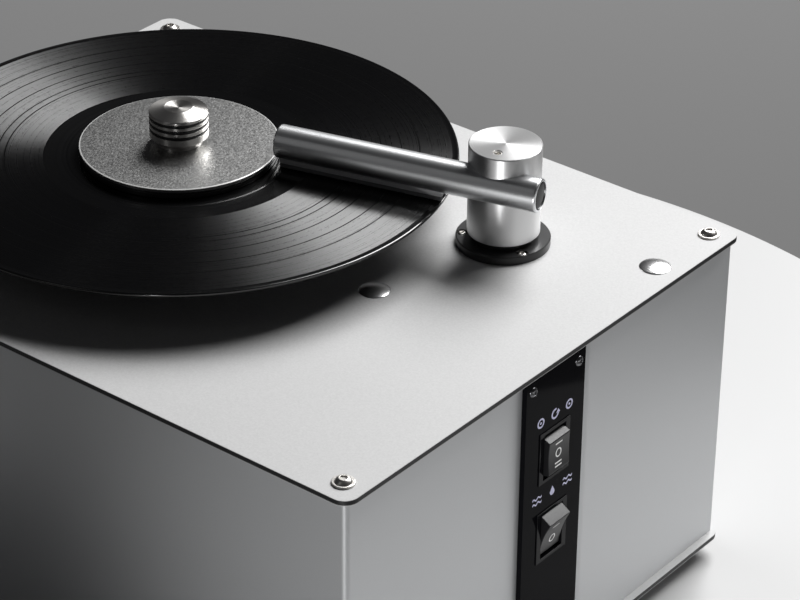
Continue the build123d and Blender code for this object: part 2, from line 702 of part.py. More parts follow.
# --- suction arm ----------------------------------------------------------------------------------
flange = upright(flange_r, top_z, top_z + flange_t)
flange = chamfer(flange.edges().group_by(Axis.Z)[-1], flange_edge)
flange += upright(flange_hub_r, top_z + flange_t, top_z + flange_hub_h)
flange -= upright(sleeve_r, top_z, top_z + flange_hub_h)
flange = Pos(arm_x, arm_y, 0) * flange
flange_seat_z = top_z + flange_t - flange_screw_sink
for x, y in flange_places:
    flange -= upright(small_shank_r + hole_gap, top_z, top_z + flange_t, x, y)
    flange -= upright(small_head_r + hole_gap, flange_seat_z, top_z + flange_hub_h, x, y)
pieces["arm_flange"] = flange
pieces["flange_screws"] = group([Pos(x, y, flange_seat_z) * small_screw for x, y in flange_places])

sleeve = upright(sleeve_r, sleeve_bottom_z, top_z + flange_hub_h)
sleeve -= upright(post_r + running_fit, spring_floor_z, top_z + flange_hub_h)
sleeve += upright(spigot_r, sleeve_bottom_z - spigot_len, sleeve_bottom_z)
sleeve -= upright(spigot_bore_r, sleeve_bottom_z - spigot_len, spring_floor_z)
pieces["guide_sleeve"] = Pos(arm_x, arm_y, 0) * sleeve

post = upright(post_r, post_bottom_z, post_top_z) - upright(post_bore_r, post_bottom_z, post_top_z)
pieces["lift_post"] = Pos(arm_x, arm_y, 0) * post
thrust = upright(post_r, post_top_z, post_top_z + washer_thrust_t)
thrust -= upright(post_bore_r, post_top_z, post_top_z + washer_thrust_t)
pieces["thrust_washer"] = Pos(arm_x, arm_y, 0) * thrust

spring_free = spring_len - 2 * (spring_wire_r + spring_gap)
coil = Helix(pitch=spring_free / spring_turns, height=spring_free, radius=spring_mean_r)
wire_end = Plane(origin=coil @ 0, z_dir=coil % 0)
spring = sweep(wire_end * Circle(spring_wire_r), path=coil, is_frenet=True)
pieces["lift_spring"] = Pos(arm_x, arm_y, spring_floor_z + spring_wire_r + spring_gap) * spring


def tube_solid(radius, start, end):
    """Cylinder on the arm tube's axis; start and end are distances towards the fore end."""
    return tube_plane * Pos(0, 0, (start + end) / 2) * Cylinder(radius, end - start)


def arm_block(side0, side1, z0, z1, start, end):
    """Box beside the arm tube's axis: sideways, in height and along the tube."""
    shape = Box(side1 - side0, z1 - z0, end - start)
    return tube_plane * Pos((side0 + side1) / 2, (z0 + z1) / 2 - tube_z, (start + end) / 2) * shape


column = upright(column_r, column_bottom_z, top_z + above_column)
column = chamfer(column.edges().group_by(Axis.Z)[-1], column_edge)
column -= upright(post_r + running_fit, column_bottom_z, post_top_z + washer_thrust_t)
column -= upright(chamber_r, post_top_z + washer_thrust_t, top_z + chamber_top)
column = Pos(arm_x, arm_y, 0) * column
column -= tube_solid(tube_r, -2 * column_r, 2 * column_r)
screw_point = Vector(arm_x, arm_y, 0) + arm_side * set_screw_offset
screw_top_z = top_z + above_column - set_screw_sink
column -= upright(set_screw_r, tube_z, top_z + above_column, screw_point.X, screw_point.Y)
pieces["arm_column"] = column
set_screw_socket = extrude(RegularPolygon(set_screw_socket_r, 6, major_radius=False), set_screw_socket_depth)
set_screw = upright(set_screw_r, tube_z, screw_top_z)
set_screw -= Pos(0, 0, screw_top_z - set_screw_socket_depth) * set_screw_socket
set_screw = Pos(screw_point.X, screw_point.Y, 0) * set_screw
pieces["arm_set_screw"] = set_screw - tube_solid(tube_r, -2 * column_r, 2 * column_r)

arm_tube = tube_solid(tube_r, -tube_tail, tube_reach)
arm_tube = fillet(arm_tube.edges().filter_by(GeomType.CIRCLE), tube_edge_r)
arm_tube -= tube_solid(tube_bore_r, -tube_tail, tube_reach)
arm_tube -= arm_block(-slot_w / 2, slot_w / 2, tube_z - tube_r - cut, tube_z, slot_from, slot_to)
arm_tube -= tube_plane * Rot(0, -90, 0) * Pos(0, 0, tube_r) * Cylinder(port_r, tube_r)
pieces["arm_tube"] = arm_tube

pieces["tube_plugs"] = group([
    tube_solid(tube_bore_r, tube_reach - end_plug_len, tube_reach - end_plug_sink),
    tube_solid(tube_bore_r, -tube_tail + end_plug_sink, -tube_tail + end_plug_len)])

carriers = []
pads = []
for side in (-1, 1):
    inner, outer = sorted((side * pad_inner, side * pad_outer))
    carrier = arm_block(inner, outer, carrier_bottom_z, tube_z, pad_from, pad_to)
    carriers.append(carrier - tube_solid(tube_r, pad_from - cut, pad_to + cut))
    pads.append(arm_block(inner, outer, pad_bottom_z, carrier_bottom_z, pad_from, pad_to))
pieces["pad_carriers"] = group(carriers)
pieces["velvet_pads"] = group(pads)


# --- vacuum unit ----------------------------------------------------------------------------------
hose_r = spigot_r + hose_wall
hose_start_z = sleeve_bottom_z - hose_gap
hose_end_x = tank_right + hose_gap
hose_path = FilletPolyline(
    (arm_x, arm_y, hose_start_z), (arm_x, arm_y, hose_z), (hose_end_x, arm_y, hose_z), radius=hose_bend_r)
hose_end = Plane(origin=(arm_x, arm_y, hose_start_z), z_dir=(0, 0, -1))
pieces["suction_hose"] = sweep(hose_end * (Circle(hose_r) - Circle(spigot_r)), path=hose_path)

tank = block(tank_left, tank_right, tank_front, tank_back, floor_z, tank_top_z)
tank -= block(tank_left + tank_wall, tank_right - tank_wall, tank_front + tank_wall, tank_back - tank_wall,
              floor_z + tank_wall, tank_top_z)
tank += along_x(spigot_r, tank_right - tank_wall, tank_right + spigot_len, arm_y, hose_z)
tank -= along_x(spigot_bore_r, tank_right - tank_wall, tank_right + spigot_len, arm_y, hose_z)
tank += along_y(fan_spigot_r, tank_front - tank_spigot_len, tank_front + tank_wall, fan_x, fan_z)
tank -= along_y(fan_spigot_bore, tank_front - tank_spigot_len, tank_front + tank_wall, fan_x, fan_z)
tank += along_y(drain_r, tank_back - tank_wall, wall_y, drain_x, drain_z)
tank -= along_y(drain_bore_r, tank_back - tank_wall, wall_y, drain_x, drain_z)
pieces["waste_tank"] = tank
lid = block(tank_left, tank_right, tank_front, tank_back, tank_top_z, tank_top_z + tank_lid_t)
lip = tank_wall + free_gap
lid += block(tank_left + lip, tank_right - lip, tank_front + lip, tank_back - lip,
             tank_top_z - tank_lid_t, tank_top_z)
pieces["tank_lid"] = lid

drain_plug = along_y(drain_plug_r, wall_y, wall_y + drain_plug_t, drain_x, drain_z)
drain_plug = chamfer(drain_plug.edges().group_by(Axis.Y)[-1], soft_edge)
drain_plug += along_y(drain_bore_r - free_gap, wall_y - drain_stem_len, wall_y, drain_x, drain_z)
pieces["drain_plug"] = drain_plug

sleeve_from = fan_front + fan_sleeve_gap
sleeve_to = tank_front - fan_sleeve_gap
fan_sleeve = along_y(fan_spigot_r + fan_sleeve_wall, sleeve_from, sleeve_to, fan_x, fan_z)
pieces["fan_sleeve"] = fan_sleeve - along_y(fan_spigot_r, sleeve_from, sleeve_to, fan_x, fan_z)

fan = along_y(fan_r, fan_back, fan_front, fan_x, fan_z)
fan -= along_y(fan_r - fan_wall, fan_back, fan_front - fan_wall, fan_x, fan_z)
fan += along_y(fan_spigot_r, fan_front, fan_front + fan_spigot_len, fan_x, fan_z)
fan -= along_y(fan_spigot_bore, fan_front - fan_wall, fan_front + fan_spigot_len, fan_x, fan_z)
for angle in fan_window_angles:
    window = block(-fan_r - fan_window_edge, -fan_r + fan_window_edge, fan_back + fan_window_edge,
                   fan_front - fan_window_edge, -fan_window_w / 2, fan_window_w / 2)
    fan -= Pos(fan_x, 0, fan_z) * Rot(0, angle, 0) * window
pieces["fan_housing"] = fan

plate_y = fan_back + impeller_gap
impeller = along_y(impeller_r, plate_y, plate_y + impeller_plate_t, 0, 0)
impeller += along_y(impeller_hub_r, plate_y, plate_y + impeller_plate_t + blade_len, 0, 0)
for i in range(blade_count):
    blade = block(impeller_hub_r - blade_root, impeller_r - blade_tip_gap, plate_y + impeller_plate_t,
                  plate_y + impeller_plate_t + blade_len, -blade_t / 2, blade_t / 2)
    impeller += Rot(0, i * 360 / blade_count, 0) * blade
impeller -= along_y(fan_shaft_r, plate_y - cut, plate_y + impeller_plate_t + blade_len + cut, 0, 0)
pieces["impeller"] = Pos(fan_x, 0, fan_z) * impeller

case_back = case_front - fan_case_len
middle = (case_front + case_back) / 2
shaft_back = case_back + shaft_end_wall
shaft = along_y(fan_shaft_r, shaft_back, plate_y + impeller_plate_t + blade_len, fan_x, fan_z)
shaft += along_y(armature_r, middle - armature_len / 2, middle + armature_len / 2, fan_x, fan_z)
pieces["fan_shaft"] = shaft
case = along_y(fan_case_r, case_back, case_front, fan_x, fan_z)
case -= along_y(
    fan_case_r - fan_case_wall, case_back + fan_case_wall, case_front - fan_case_wall, fan_x, fan_z)
case -= along_y(fan_shaft_r + running_fit, shaft_back - free_gap, case_front, fan_x, fan_z)
pieces["fan_motor_case"] = case

cradle = block(fan_x - cradle_w / 2, fan_x + cradle_w / 2, case_front, fan_back, floor_z, fan_z + fan_r)
cradle += block(fan_x - cradle_w / 2, fan_x + cradle_w / 2, case_front - cradle_foot, fan_back,
                floor_z, floor_z + cradle_t)
cradle -= along_y(cradle_hole_r, case_front - cut, fan_back + cut, fan_x, fan_z)
pieces["motor_cradle"] = cradle


# --- mains inlet ----------------------------------------------------------------------------------
inlet = block(inlet_x - inlet_w / 2, inlet_x + inlet_w / 2, wall_y, wall_y + inlet_flange_t,
              inlet_z - inlet_h / 2, inlet_z + inlet_h / 2)
inlet = chamfer(inlet.faces().sort_by(Axis.Y)[-1].edges(), soft_edge)
inlet += block(inlet_x - inlet_body_w / 2, inlet_x + inlet_body_w / 2, wall_y - inlet_body_depth, wall_y,
               inlet_z - inlet_body_h / 2, inlet_z + inlet_body_h / 2)
socket_back = wall_y + inlet_flange_t - socket_depth
socket = block(inlet_x - socket_w / 2, inlet_x + socket_w / 2, socket_back, wall_y + inlet_flange_t,
               inlet_z - socket_h / 2, inlet_z + socket_h / 2)
socket = chamfer(socket.edges().filter_by(Axis.Y).group_by(Axis.Z)[-1], socket_chamfer)
pieces["mains_inlet"] = inlet - socket
pieces["inlet_pins"] = group([
    block(inlet_x + dx - inlet_pin_w / 2, inlet_x + dx + inlet_pin_w / 2, socket_back,
          socket_back + inlet_pin_len, inlet_z + dz - inlet_pin_h / 2, inlet_z + dz + inlet_pin_h / 2)
    for dx, dz in inlet_pin_places])


# --- power supply and wiring ----------------------------------------------------------------------
board_right = inner_x - board_gap_right
board_left = board_right - board_w
board_x = (board_left + board_right) / 2
board_y = board_gap_front - inner_y + board_d / 2
board_z = floor_z + stand_off_h
board = block(board_left, board_right, board_y - board_d / 2, board_y + board_d / 2,
              board_z, board_z + board_t)
stand_offs = [upright(stand_off_r, floor_z, board_z,
                      board_x + sx * (board_w / 2 - stand_off_inset),
                      board_y + sy * (board_d / 2 - stand_off_inset)) for sx, sy in corners]
board_top_z = board_z + board_t
size_x, size_y, size_z = transformer_size
transformer_x = board_left + transformer_inset
transformer = block(transformer_x, transformer_x + size_x, board_y - size_y / 2, board_y + size_y / 2,
                    board_top_z, board_top_z + size_z)
capacitors = [upright(capacitor_r, board_top_z, board_top_z + capacitor_h, board_x + capacitor_from,
                      board_y + side * capacitor_side) for side in (-1, 1)]
pieces["power_supply"] = group([board, transformer] + stand_offs + capacitors)


def wire(points):
    """Insulated wire along straight runs with rounded bends."""
    path = FilletPolyline(*points, radius=wire_bend_r)
    start = Plane(origin=path @ 0, z_dir=path % 0)
    return sweep(start * Circle(wire_r), path=path)


wire_z = board_top_z + wire_r
wire_y = {name: board_y + side for name, side in board_wires.items()}
switch_back_x = strip_face_x - switch_body_depth
motor_wire_x = switch_back_x - wire_back
vacuum_wire_x = switch_back_x - second_wire_back
inlet_wire_y = wall_y - inlet_body_depth - inlet_wire_gap
turntable_wire_x = board_left - turntable_wire_run
gear_wire_z = gearbox_top_z - gearbox_h - gear_wire_drop
fan_wire_x = fan_x + fan_wire_side
fan_wire_y = case_front - fan_wire_inset
routes = [
    [(inlet_x, wall_y - inlet_body_depth, inlet_z), (inlet_x, inlet_wire_y, inlet_z),
     (inlet_x, inlet_wire_y, wire_z), (inlet_x, wire_y["mains"], wire_z)],
    [(switch_back_x, strip_y - wire_side, switches["motor"]),
     (motor_wire_x, strip_y - wire_side, switches["motor"]),
     (motor_wire_x, strip_y - wire_side, wire_z), (motor_wire_x, wire_y["motor"], wire_z),
     (board_right - wire_board_inset, wire_y["motor"], wire_z)],
    [(switch_back_x, strip_y + wire_side, switches["vacuum"]),
     (vacuum_wire_x, strip_y + wire_side, switches["vacuum"]),
     (vacuum_wire_x, strip_y + wire_side, wire_z), (vacuum_wire_x, wire_y["vacuum"], wire_z)],
    [(board_left + wire_tail, wire_y["turntable"], wire_z), (turntable_wire_x, wire_y["turntable"], wire_z),
     (turntable_wire_x, turntable_y, wire_z), (turntable_wire_x, turntable_y, gear_wire_z),
     (turntable_x + gear_can_r, turntable_y, gear_wire_z)],
    [(board_left + wire_tail, wire_y["fan"], wire_z), (fan_wire_x, wire_y["fan"], wire_z),
     (fan_wire_x, wire_y["fan"], fan_z), (fan_wire_x, fan_wire_y, fan_z),
     (fan_x + fan_case_r, fan_wire_y, fan_z)],
]
pieces["wiring_loom"] = group([wire(route) for route in routes])


# --- into the machine's frame ---------------------------------------------------------------------
boxes = [piece.bounding_box() for piece in pieces.values()]
middle_x = (min(b.min.X for b in boxes) + max(b.max.X for b in boxes)) / 2
middle_y = (min(b.min.Y for b in boxes) + max(b.max.Y for b in boxes)) / 2
print("frame origin from the cabinet's centre line", round(middle_x, 4), round(middle_y, 4))
fore_end = tube_plane.origin + arm_dir * tube_reach
end_reach = hypot(fore_end.X - arm_x, fore_end.Y - arm_y)
print("tube end to clamp disc", round(
    hypot(arm_x - turntable_x, arm_y - turntable_y) - end_reach - clamp_r, 3))

os.makedirs("parts", exist_ok=True)
for name, piece in pieces.items():
    export_step(Pos(-middle_x, -middle_y, 0) * piece, f"parts/{name}.step")
print(len(pieces), "nodes")
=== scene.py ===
"""Record cleaning machine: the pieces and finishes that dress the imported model."""

from math import atan, cos, pi, radians, sin, sqrt

import bmesh
import bpy
from bpy.props import FloatProperty, FloatVectorProperty, PointerProperty
from bpy.types import Operator, Panel, PropertyGroup
from mathutils import Matrix, Vector


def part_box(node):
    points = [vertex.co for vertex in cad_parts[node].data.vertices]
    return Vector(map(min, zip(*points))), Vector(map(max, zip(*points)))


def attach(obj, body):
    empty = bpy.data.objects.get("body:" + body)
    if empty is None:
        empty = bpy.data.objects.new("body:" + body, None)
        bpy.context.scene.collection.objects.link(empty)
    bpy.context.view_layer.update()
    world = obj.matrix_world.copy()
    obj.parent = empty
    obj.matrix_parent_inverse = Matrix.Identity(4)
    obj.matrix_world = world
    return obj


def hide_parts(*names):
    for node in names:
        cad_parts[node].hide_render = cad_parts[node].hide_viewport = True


bl_info = {
    "name": "Record cleaning machine",
    "version": (1, 0, 0),
    "blender": (4, 5, 0),
    "location": "3D View > Sidebar > Record cleaner",
    "description": "Models and finishes a vacuum record cleaning machine round its packed solids",
    "category": "Object",
}

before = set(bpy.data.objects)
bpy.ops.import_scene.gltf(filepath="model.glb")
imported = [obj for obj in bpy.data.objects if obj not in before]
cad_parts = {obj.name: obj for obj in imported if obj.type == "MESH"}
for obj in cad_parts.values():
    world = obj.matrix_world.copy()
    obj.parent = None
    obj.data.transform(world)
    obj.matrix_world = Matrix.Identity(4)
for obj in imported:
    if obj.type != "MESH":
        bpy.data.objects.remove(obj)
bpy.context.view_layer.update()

# the steps give sizes in millimetres; settings and places are in metres
MM = 0.001


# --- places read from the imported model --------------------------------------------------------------
def middle(node):
    """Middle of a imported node's box."""
    lowest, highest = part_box(node)
    return (Vector(lowest) + Vector(highest)) / 2


def top_of(node):
    """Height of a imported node's highest point."""
    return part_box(node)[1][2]


def corners_of(node, inset):
    """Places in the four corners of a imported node's box, an inset in from its sides."""
    lowest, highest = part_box(node)
    return [(x, y) for x in (lowest[0] + inset, highest[0] - inset)
            for y in (lowest[1] + inset, highest[1] - inset)]


PLATE_X = middle("top_panel_skins").x
PLATE_TOP = top_of("top_panel_skins")
TURNTABLE = middle("record").xy
RECORD_TOP = top_of("record")
CLAMP_TOP = top_of("clamp_disc")
COLUMN = middle("arm_flange").xy
COLUMN_TOP = top_of("arm_column")
STRIP_Y = middle("control_panel").y
STRIP_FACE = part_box("control_panel")[1][0]
BEZEL_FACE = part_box("motor_switch_housing")[1][0]
PIVOT_DEPTH = 2.6 * MM
ROCKER_PIVOT = BEZEL_FACE - PIVOT_DEPTH

# heights of the switches' middles, and half the width and height of their windows, in millimetres
SWITCH_HEIGHTS = {"motor": 150.5, "vacuum": 101.5}
WINDOW = (12.0, 14.8)

# the arm tube points over the record and lies beside the column's axis
ARM_ANGLE = radians(195.72)
ARM_OFFSET = 13.74 * MM
TUBE_Z = 246.4 * MM
TUBE_RADIUS = 9.2


def beside_column(offset):
    """Place at an offset from the column's axis, square to the arm tube."""
    return COLUMN.x - sin(ARM_ANGLE) * offset, COLUMN.y + cos(ARM_ANGLE) * offset


ARM_FRAME = (*beside_column(ARM_OFFSET), TUBE_Z)


# --- sizes and colours a user would change ----------------------------------------------------------
def length(label, text, default):
    """Length property, in metres."""
    return FloatProperty(name=label, description=text, default=default, min=0.0, unit="LENGTH")


def angle(label, text, default):
    """Angle property, its default given in degrees."""
    return FloatProperty(name=label, description=text, default=radians(default), subtype="ANGLE")


def share(label, text, default):
    """Property from 0 to 1."""
    return FloatProperty(name=label, description=text, default=default, min=0.0, max=1.0, subtype="FACTOR")


def power(label, text, default):
    """Power of a light."""
    return FloatProperty(name=label, description=text, default=default, min=0.0, unit="POWER")


def colour(label, text, default):
    """Colour property."""
    return FloatVectorProperty(
        name=label, description=text, default=default, size=3, min=0.0, max=1.0, subtype="COLOR")


class StageSettings(PropertyGroup):
    """Table, surroundings, light and camera."""
    table_radius: length("Table radius", "Radius of the round table top", 0.45)
    table_colour: colour("Table colour", "Colour of the table top", (0.52, 0.52, 0.52))
    ground_colour: colour("Ground colour", "Colour of the ground behind the table", (0.135, 0.135, 0.135))
    softbox_width: length("Softbox width", "Width of the softbox behind the machine", 2.10)
    softbox_height: length("Softbox height", "Height of the softbox behind the machine", 1.60)
    softbox_distance: length("Softbox distance", "From the record's middle to the softbox", 2.73)
    softbox_side: angle("Softbox direction", "How far the softbox stands to the left of straight back", -1.8)
    softbox_rise: angle("Softbox rise", "How high the softbox stands above the record", 43.2)
    softbox_power: power("Softbox power", "Power of the softbox", 138.0)
    fill_power: power("Fill power", "Power of the weak side light", 1.8)
    card_power: power("Card power", "Power of the faint card above the front", 0.6)
    lamp_power: power("Corner lamp power", "Power of the low lamp aimed at the near corner", 21.0)
    air_colour: colour("Surroundings", "Colour of the room all round", (0.016, 0.016, 0.017))
    camera_lens: FloatProperty(
        name="Focal length", description="Lens of the camera", default=139.62, min=1.0,
        subtype="DISTANCE_CAMERA")


class CabinetSettings(PropertyGroup):
    """Panels, walls and feet."""
    plate_colour: colour("Panel skin colour", "Aluminium skins of the two panels", (0.53, 0.53, 0.53))
    plate_roughness: share("Panel skin roughness", "Satin of the panel skins", 0.64)
    core_colour: colour("Panel core colour", "Plastic between the skins", (0.012, 0.012, 0.013))
    wall_colour: colour("Wall colour", "Anodised aluminium of the walls", (0.66, 0.67, 0.68))
    wall_roughness: share("Wall roughness", "Satin of the walls", 0.42)
    rubber_colour: colour("Rubber colour", "Feet and seals", (0.015, 0.015, 0.016))


class RecordSettings(PropertyGroup):
    """The record on the turntable."""
    vinyl_colour: colour("Vinyl colour", "Colour of the record", (0.002, 0.002, 0.0022))
    label_colour: colour("Label colour", "Blank paper label", (0.62, 0.58, 0.50))
    label_radius: length("Label radius", "Radius of the paper label", 50 * MM)
    groove_roughness: share("Groove gloss", "Roughness of the grooved bands", 0.34)


class ClampSettings(PropertyGroup):
    """Disc, seal and knob that hold the record."""
    disc_colour: colour("Disc colour", "Blasted aluminium of the disc", (0.425, 0.425, 0.42))
    # paler than the disc: bare turned metal in part, painted highlight on the chamfer in part
    rim_highlight_colour: colour("Rim colour", "Bare turned rim of the disc", (0.66, 0.66, 0.65))
    disc_roughness: share("Disc roughness", "Gloss of the disc", 0.34)
    knob_colour: colour("Knob colour", "Turned steel of the knob", (0.82, 0.80, 0.77))
    knob_edge: length("Knob edge", "Rounding of the knob's turned edges", 0.12 * MM)


class ArmSettings(PropertyGroup):
    """Column, tube, flange and velvet pads of the suction arm."""
    metal_colour: colour("Arm colour", "Turned aluminium of the column", (0.80, 0.80, 0.80))
    # darker than the column's sides: painted shade on the brightly lit top
    cap_painted_shade_colour: colour("Cap colour", "Turned top of the column", (0.54, 0.54, 0.54))
    tube_colour: colour("Tube colour", "Steel of the tube", (0.80, 0.81, 0.82))
    flange_colour: colour("Flange colour", "Black anodised flange", (0.042, 0.042, 0.043))
    velvet_colour: colour("Velvet colour", "Pile of the two pads", (0.035, 0.035, 0.038))
    pile_depth: length("Pile depth", "How uneven the velvet's pile is", 0.12 * MM)


class SwitchSettings(PropertyGroup):
    """Control panel, switches and their printed marks."""
    panel_colour: colour("Control panel colour", "Gloss black plate", (0.004, 0.004, 0.005))
    plastic_colour: colour("Switch colour", "Moulded plastic of the rockers", (0.012, 0.012, 0.013))
    print_colour: colour("Print colour", "Pale ink of the signs", (0.72, 0.72, 0.95))
    print_height: length("Print height", "Thickness of the ink", 0.05 * MM)
    edge: length("Rocker edge", "Rounding of the rockers' edges", 0.45 * MM)
    bezel_edge: length("Bezel edge", "Rounding of the switches' bezels", 0.2 * MM)


class FastenerSettings(PropertyGroup):
    """Screws, washers and hole plugs."""
    steel_colour: colour("Steel colour", "Stainless screws and washers", (0.72, 0.70, 0.67))
    plug_colour: colour("Plug colour", "Bright caps in the unused holes", (0.78, 0.78, 0.78))
    black_colour: colour("Black screw colour", "Blackened screws", (0.05, 0.05, 0.052))


# --- modelling by hand ------------------------------------------------------------------------------
SAME_PLACE = 0.002 * MM
NEARLY_FLAT = radians(0.3)
ALONG_X = (0, pi / 2, 0)
OBLIQUE = Vector((0.61, 0.37, 0.83))


def start_clean():
    """Leave edit mode and deselect everything."""
    if bpy.context.object and bpy.context.object.mode != "OBJECT":
        bpy.ops.object.mode_set(mode="OBJECT")
    bpy.ops.object.select_all(action="DESELECT")


def only(*pieces):
    """Select these pieces and nothing else; the first is the active one."""
    start_clean()
    for piece in pieces:
        piece.select_set(True)
    bpy.context.view_layer.objects.active = pieces[0]


def edit(piece):
    """Open one piece in edit mode with nothing selected."""
    only(piece)
    bpy.ops.object.mode_set(mode="EDIT")
    bpy.ops.mesh.select_mode(type="FACE")
    bpy.ops.mesh.select_all(action="DESELECT")


def named(piece, name):
    """Name a piece and its mesh."""
    piece.name = name
    piece.data.name = name
    return piece


def settle(piece, turn=(0, 0, 0), move=(0, 0, 0)):
    """Turn and move a finished piece, then put its place in its mesh."""
    only(piece)
    piece.rotation_euler = turn
    piece.location = Vector(piece.location) + Vector(move)
    bpy.ops.object.transform_apply(location=True, rotation=True, scale=True)
    return piece


def apply_modifiers(piece):
    """Apply every modifier in order."""
    only(piece)
    for modifier in list(piece.modifiers):
        bpy.ops.object.modifier_apply(modifier=modifier.name)


def close_up(piece):
    """Merge doubles and point every face outwards."""
    edit(piece)
    bpy.ops.mesh.select_all(action="SELECT")
    bpy.ops.mesh.remove_doubles(threshold=SAME_PLACE)
    bpy.ops.mesh.normals_make_consistent(inside=False)
    start_clean()
    return piece


def rounded(piece, width, segments=2, crease=30):
    """Round the edges that are sharper than an angle, and smooth what is curved."""
    only(piece)
    bevel = piece.modifiers.new("rounded", "BEVEL")
    bevel.width = width
    bevel.segments = segments
    bevel.limit_method = "ANGLE"
    bevel.angle_limit = radians(crease)
    apply_modifiers(piece)
    return smooth(piece, crease)


def smooth(piece, crease=30):
    """Smooth shading, sharp where faces meet at more than an angle, flats kept flat."""
    only(piece)
    bpy.ops.object.shade_smooth_by_angle(angle=radians(crease))
    flat = piece.modifiers.new("flat faces", "WEIGHTED_NORMAL")
    flat.keep_sharp = True
    flat.weight = 100
    apply_modifiers(piece)
    return piece


def traced(name, outline, side=0.0):
    """Chain of edges through (x, z) points in millimetres, left open in edit mode and selected."""
    start_clean()
    x, z = outline[0]
    bpy.ops.mesh.primitive_plane_add(size=MM, location=(x * MM, side * MM, z * MM))
    piece = named(bpy.context.object, name)
    bpy.ops.object.mode_set(mode="EDIT")
    bpy.ops.mesh.select_mode(type="VERT")
    bpy.ops.mesh.select_all(action="SELECT")
    bpy.ops.mesh.merge(type="CENTER")
    for next_x, next_z in outline[1:]:
        step = ((next_x - x) * MM, 0, (next_z - z) * MM)
        bpy.ops.mesh.extrude_vertices_move(TRANSFORM_OT_translate={"value": step})
        x, z = next_x, next_z
    bpy.ops.mesh.select_all(action="SELECT")
    return piece


def turned(name, outline, steps=128):
    """Half section of (radius, height) points, spun about the upright axis."""
    piece = traced(name, outline)
    bpy.ops.mesh.spin(steps=steps, angle=2 * pi, center=(0, 0, 0), axis=(0, 0, 1))
    return close_up(settle(piece))


def prism(name, outline, low, high):
    """Filled outline of (x, z) points, extruded along Y between two sides."""
    piece = traced(name, outline, low)
    bpy.ops.mesh.edge_face_add()
    bpy.ops.mesh.select_all(action="SELECT")
    bpy.ops.mesh.extrude_region_move(TRANSFORM_OT_translate={"value": (0, (high - low) * MM, 0)})
    return close_up(settle(piece))


def boxed(name, low, high):
    """Box between two corners, in metres."""
    start_clean()
    low, high = Vector(low), Vector(high)
    bpy.ops.mesh.primitive_cube_add(size=1, location=(low + high) / 2, scale=high - low)
    return settle(named(bpy.context.object, name))


def rod(name, radius, low, high, place=(0, 0), sides=64):
    """Upright cylinder or prism, in millimetres."""
    start_clean()
    bpy.ops.mesh.primitive_cylinder_add(
        vertices=sides, radius=radius * MM, depth=(high - low) * MM,
        location=(place[0] * MM, place[1] * MM, (low + high) / 2 * MM))
    return settle(named(bpy.context.object, name))


def in_order(piece):
    """Number a cut piece's elements by their places, since the solver's own order changes from run to run."""
    mesh = bmesh.new()
    mesh.from_mesh(piece.data)
    mesh.verts.sort(key=lambda vertex: vertex.co.dot(OBLIQUE))
    mesh.edges.sort(key=lambda edge: (edge.verts[0].co + edge.verts[1].co).dot(OBLIQUE))
    mesh.faces.sort(key=lambda face: face.calc_center_median().dot(OBLIQUE))
    mesh.to_mesh(piece.data)
    mesh.free()


def combine(piece, tool, operation="DIFFERENCE"):
    """Cut a piece with a tool, or weld the two, and throw the tool away."""
    only(piece)
    boolean = piece.modifiers.new("combine", "BOOLEAN")
    boolean.operation = operation
    boolean.solver = "EXACT"
    boolean.object = tool
    bpy.ops.object.modifier_apply(modifier=boolean.name)
    bpy.data.objects.remove(tool)
    in_order(piece)
    edit(piece)
    bpy.ops.mesh.select_all(action="SELECT")
    bpy.ops.mesh.remove_doubles(threshold=SAME_PLACE)
    bpy.ops.mesh.dissolve_limited(angle_limit=NEARLY_FLAT)
    start_clean()
    return piece


def copied(piece, move):
    """Copy of a piece with its own mesh."""
    only(piece)
    bpy.ops.object.duplicate(linked=False)
    return settle(bpy.context.object, move=move)


def joined(name, *pieces):
    """Several pieces as one."""
    only(*pieces)
    bpy.ops.object.join()
    return named(bpy.context.object, name)


def repeated(name, piece, places):
    """A piece modelled once about the origin and copied to each place."""
    copies = [copied(piece, place) for place in places]
    bpy.data.objects.remove(piece)
    return joined(name, *copies)


def finished(piece, material, body, *nodes):
    """Give a piece its material and body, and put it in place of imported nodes."""
    only(piece)
    piece.data.materials.clear()
    piece.data.materials.append(material)
    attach(piece, body)
    if nodes:
        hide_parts(*nodes)


def second_finish(piece, material, test):
    """Give the faces whose middle and normal pass a test a material of their own."""
    piece.data.materials.append(material)
    edit(piece)
    mesh = bmesh.from_edit_mesh(piece.data)
    for face in mesh.faces:
        face.select_set(bool(test(face.calc_center_median(), face.normal)))
    mesh.select_flush_mode()
    bmesh.update_edit_mesh(piece.data)
    piece.active_material_index = 1
    bpy.ops.object.material_slot_assign()
    start_clean()


def dress(material, *nodes):
    """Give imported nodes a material."""
    for name in nodes:
        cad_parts[name].material_slots[0].material = material


def arc(centre_x, centre_z, radius, start, end, count):
    """Points on an arc, angles in degrees."""
    points = []
    for i in range(count + 1):
        turn = radians(start + (end - start) * i / count)
        points.append((centre_x + radius * cos(turn), centre_z + radius * sin(turn)))
    return points


def hexagon(half_width, low, high):
    """Upright hexagonal tool, from half its width across the flats."""
    return rod("socket", half_width / cos(pi / 6), low, high, sides=6)


def dome(from_radius, to_radius, rise, foot, count):
    """Points over a dome that stands on a foot, from its edge towards its middle."""
    ball = (from_radius ** 2 + rise ** 2) / (2 * rise)
    radii = [from_radius + (to_radius - from_radius) * i / count for i in range(count + 1)]
    return [(radius, foot + rise - ball + sqrt(ball ** 2 - radius ** 2)) for radius in radii]


def button_screw(name, head_radius, head_height, shank_radius, socket, shank):
    """Dome-headed screw with a hexagon socket; its seat is at the origin."""
    curve = dome(head_radius, socket * 1.35, head_height, 0, 8)
    outline = [(0, -shank), (shank_radius, -shank), (shank_radius, 0), *curve, (0, curve[-1][1])]
    screw = turned(name, outline, 64)
    combine(screw, hexagon(socket, head_height * 0.45, head_height + 1))
    return rounded(screw, 0.08 * MM)


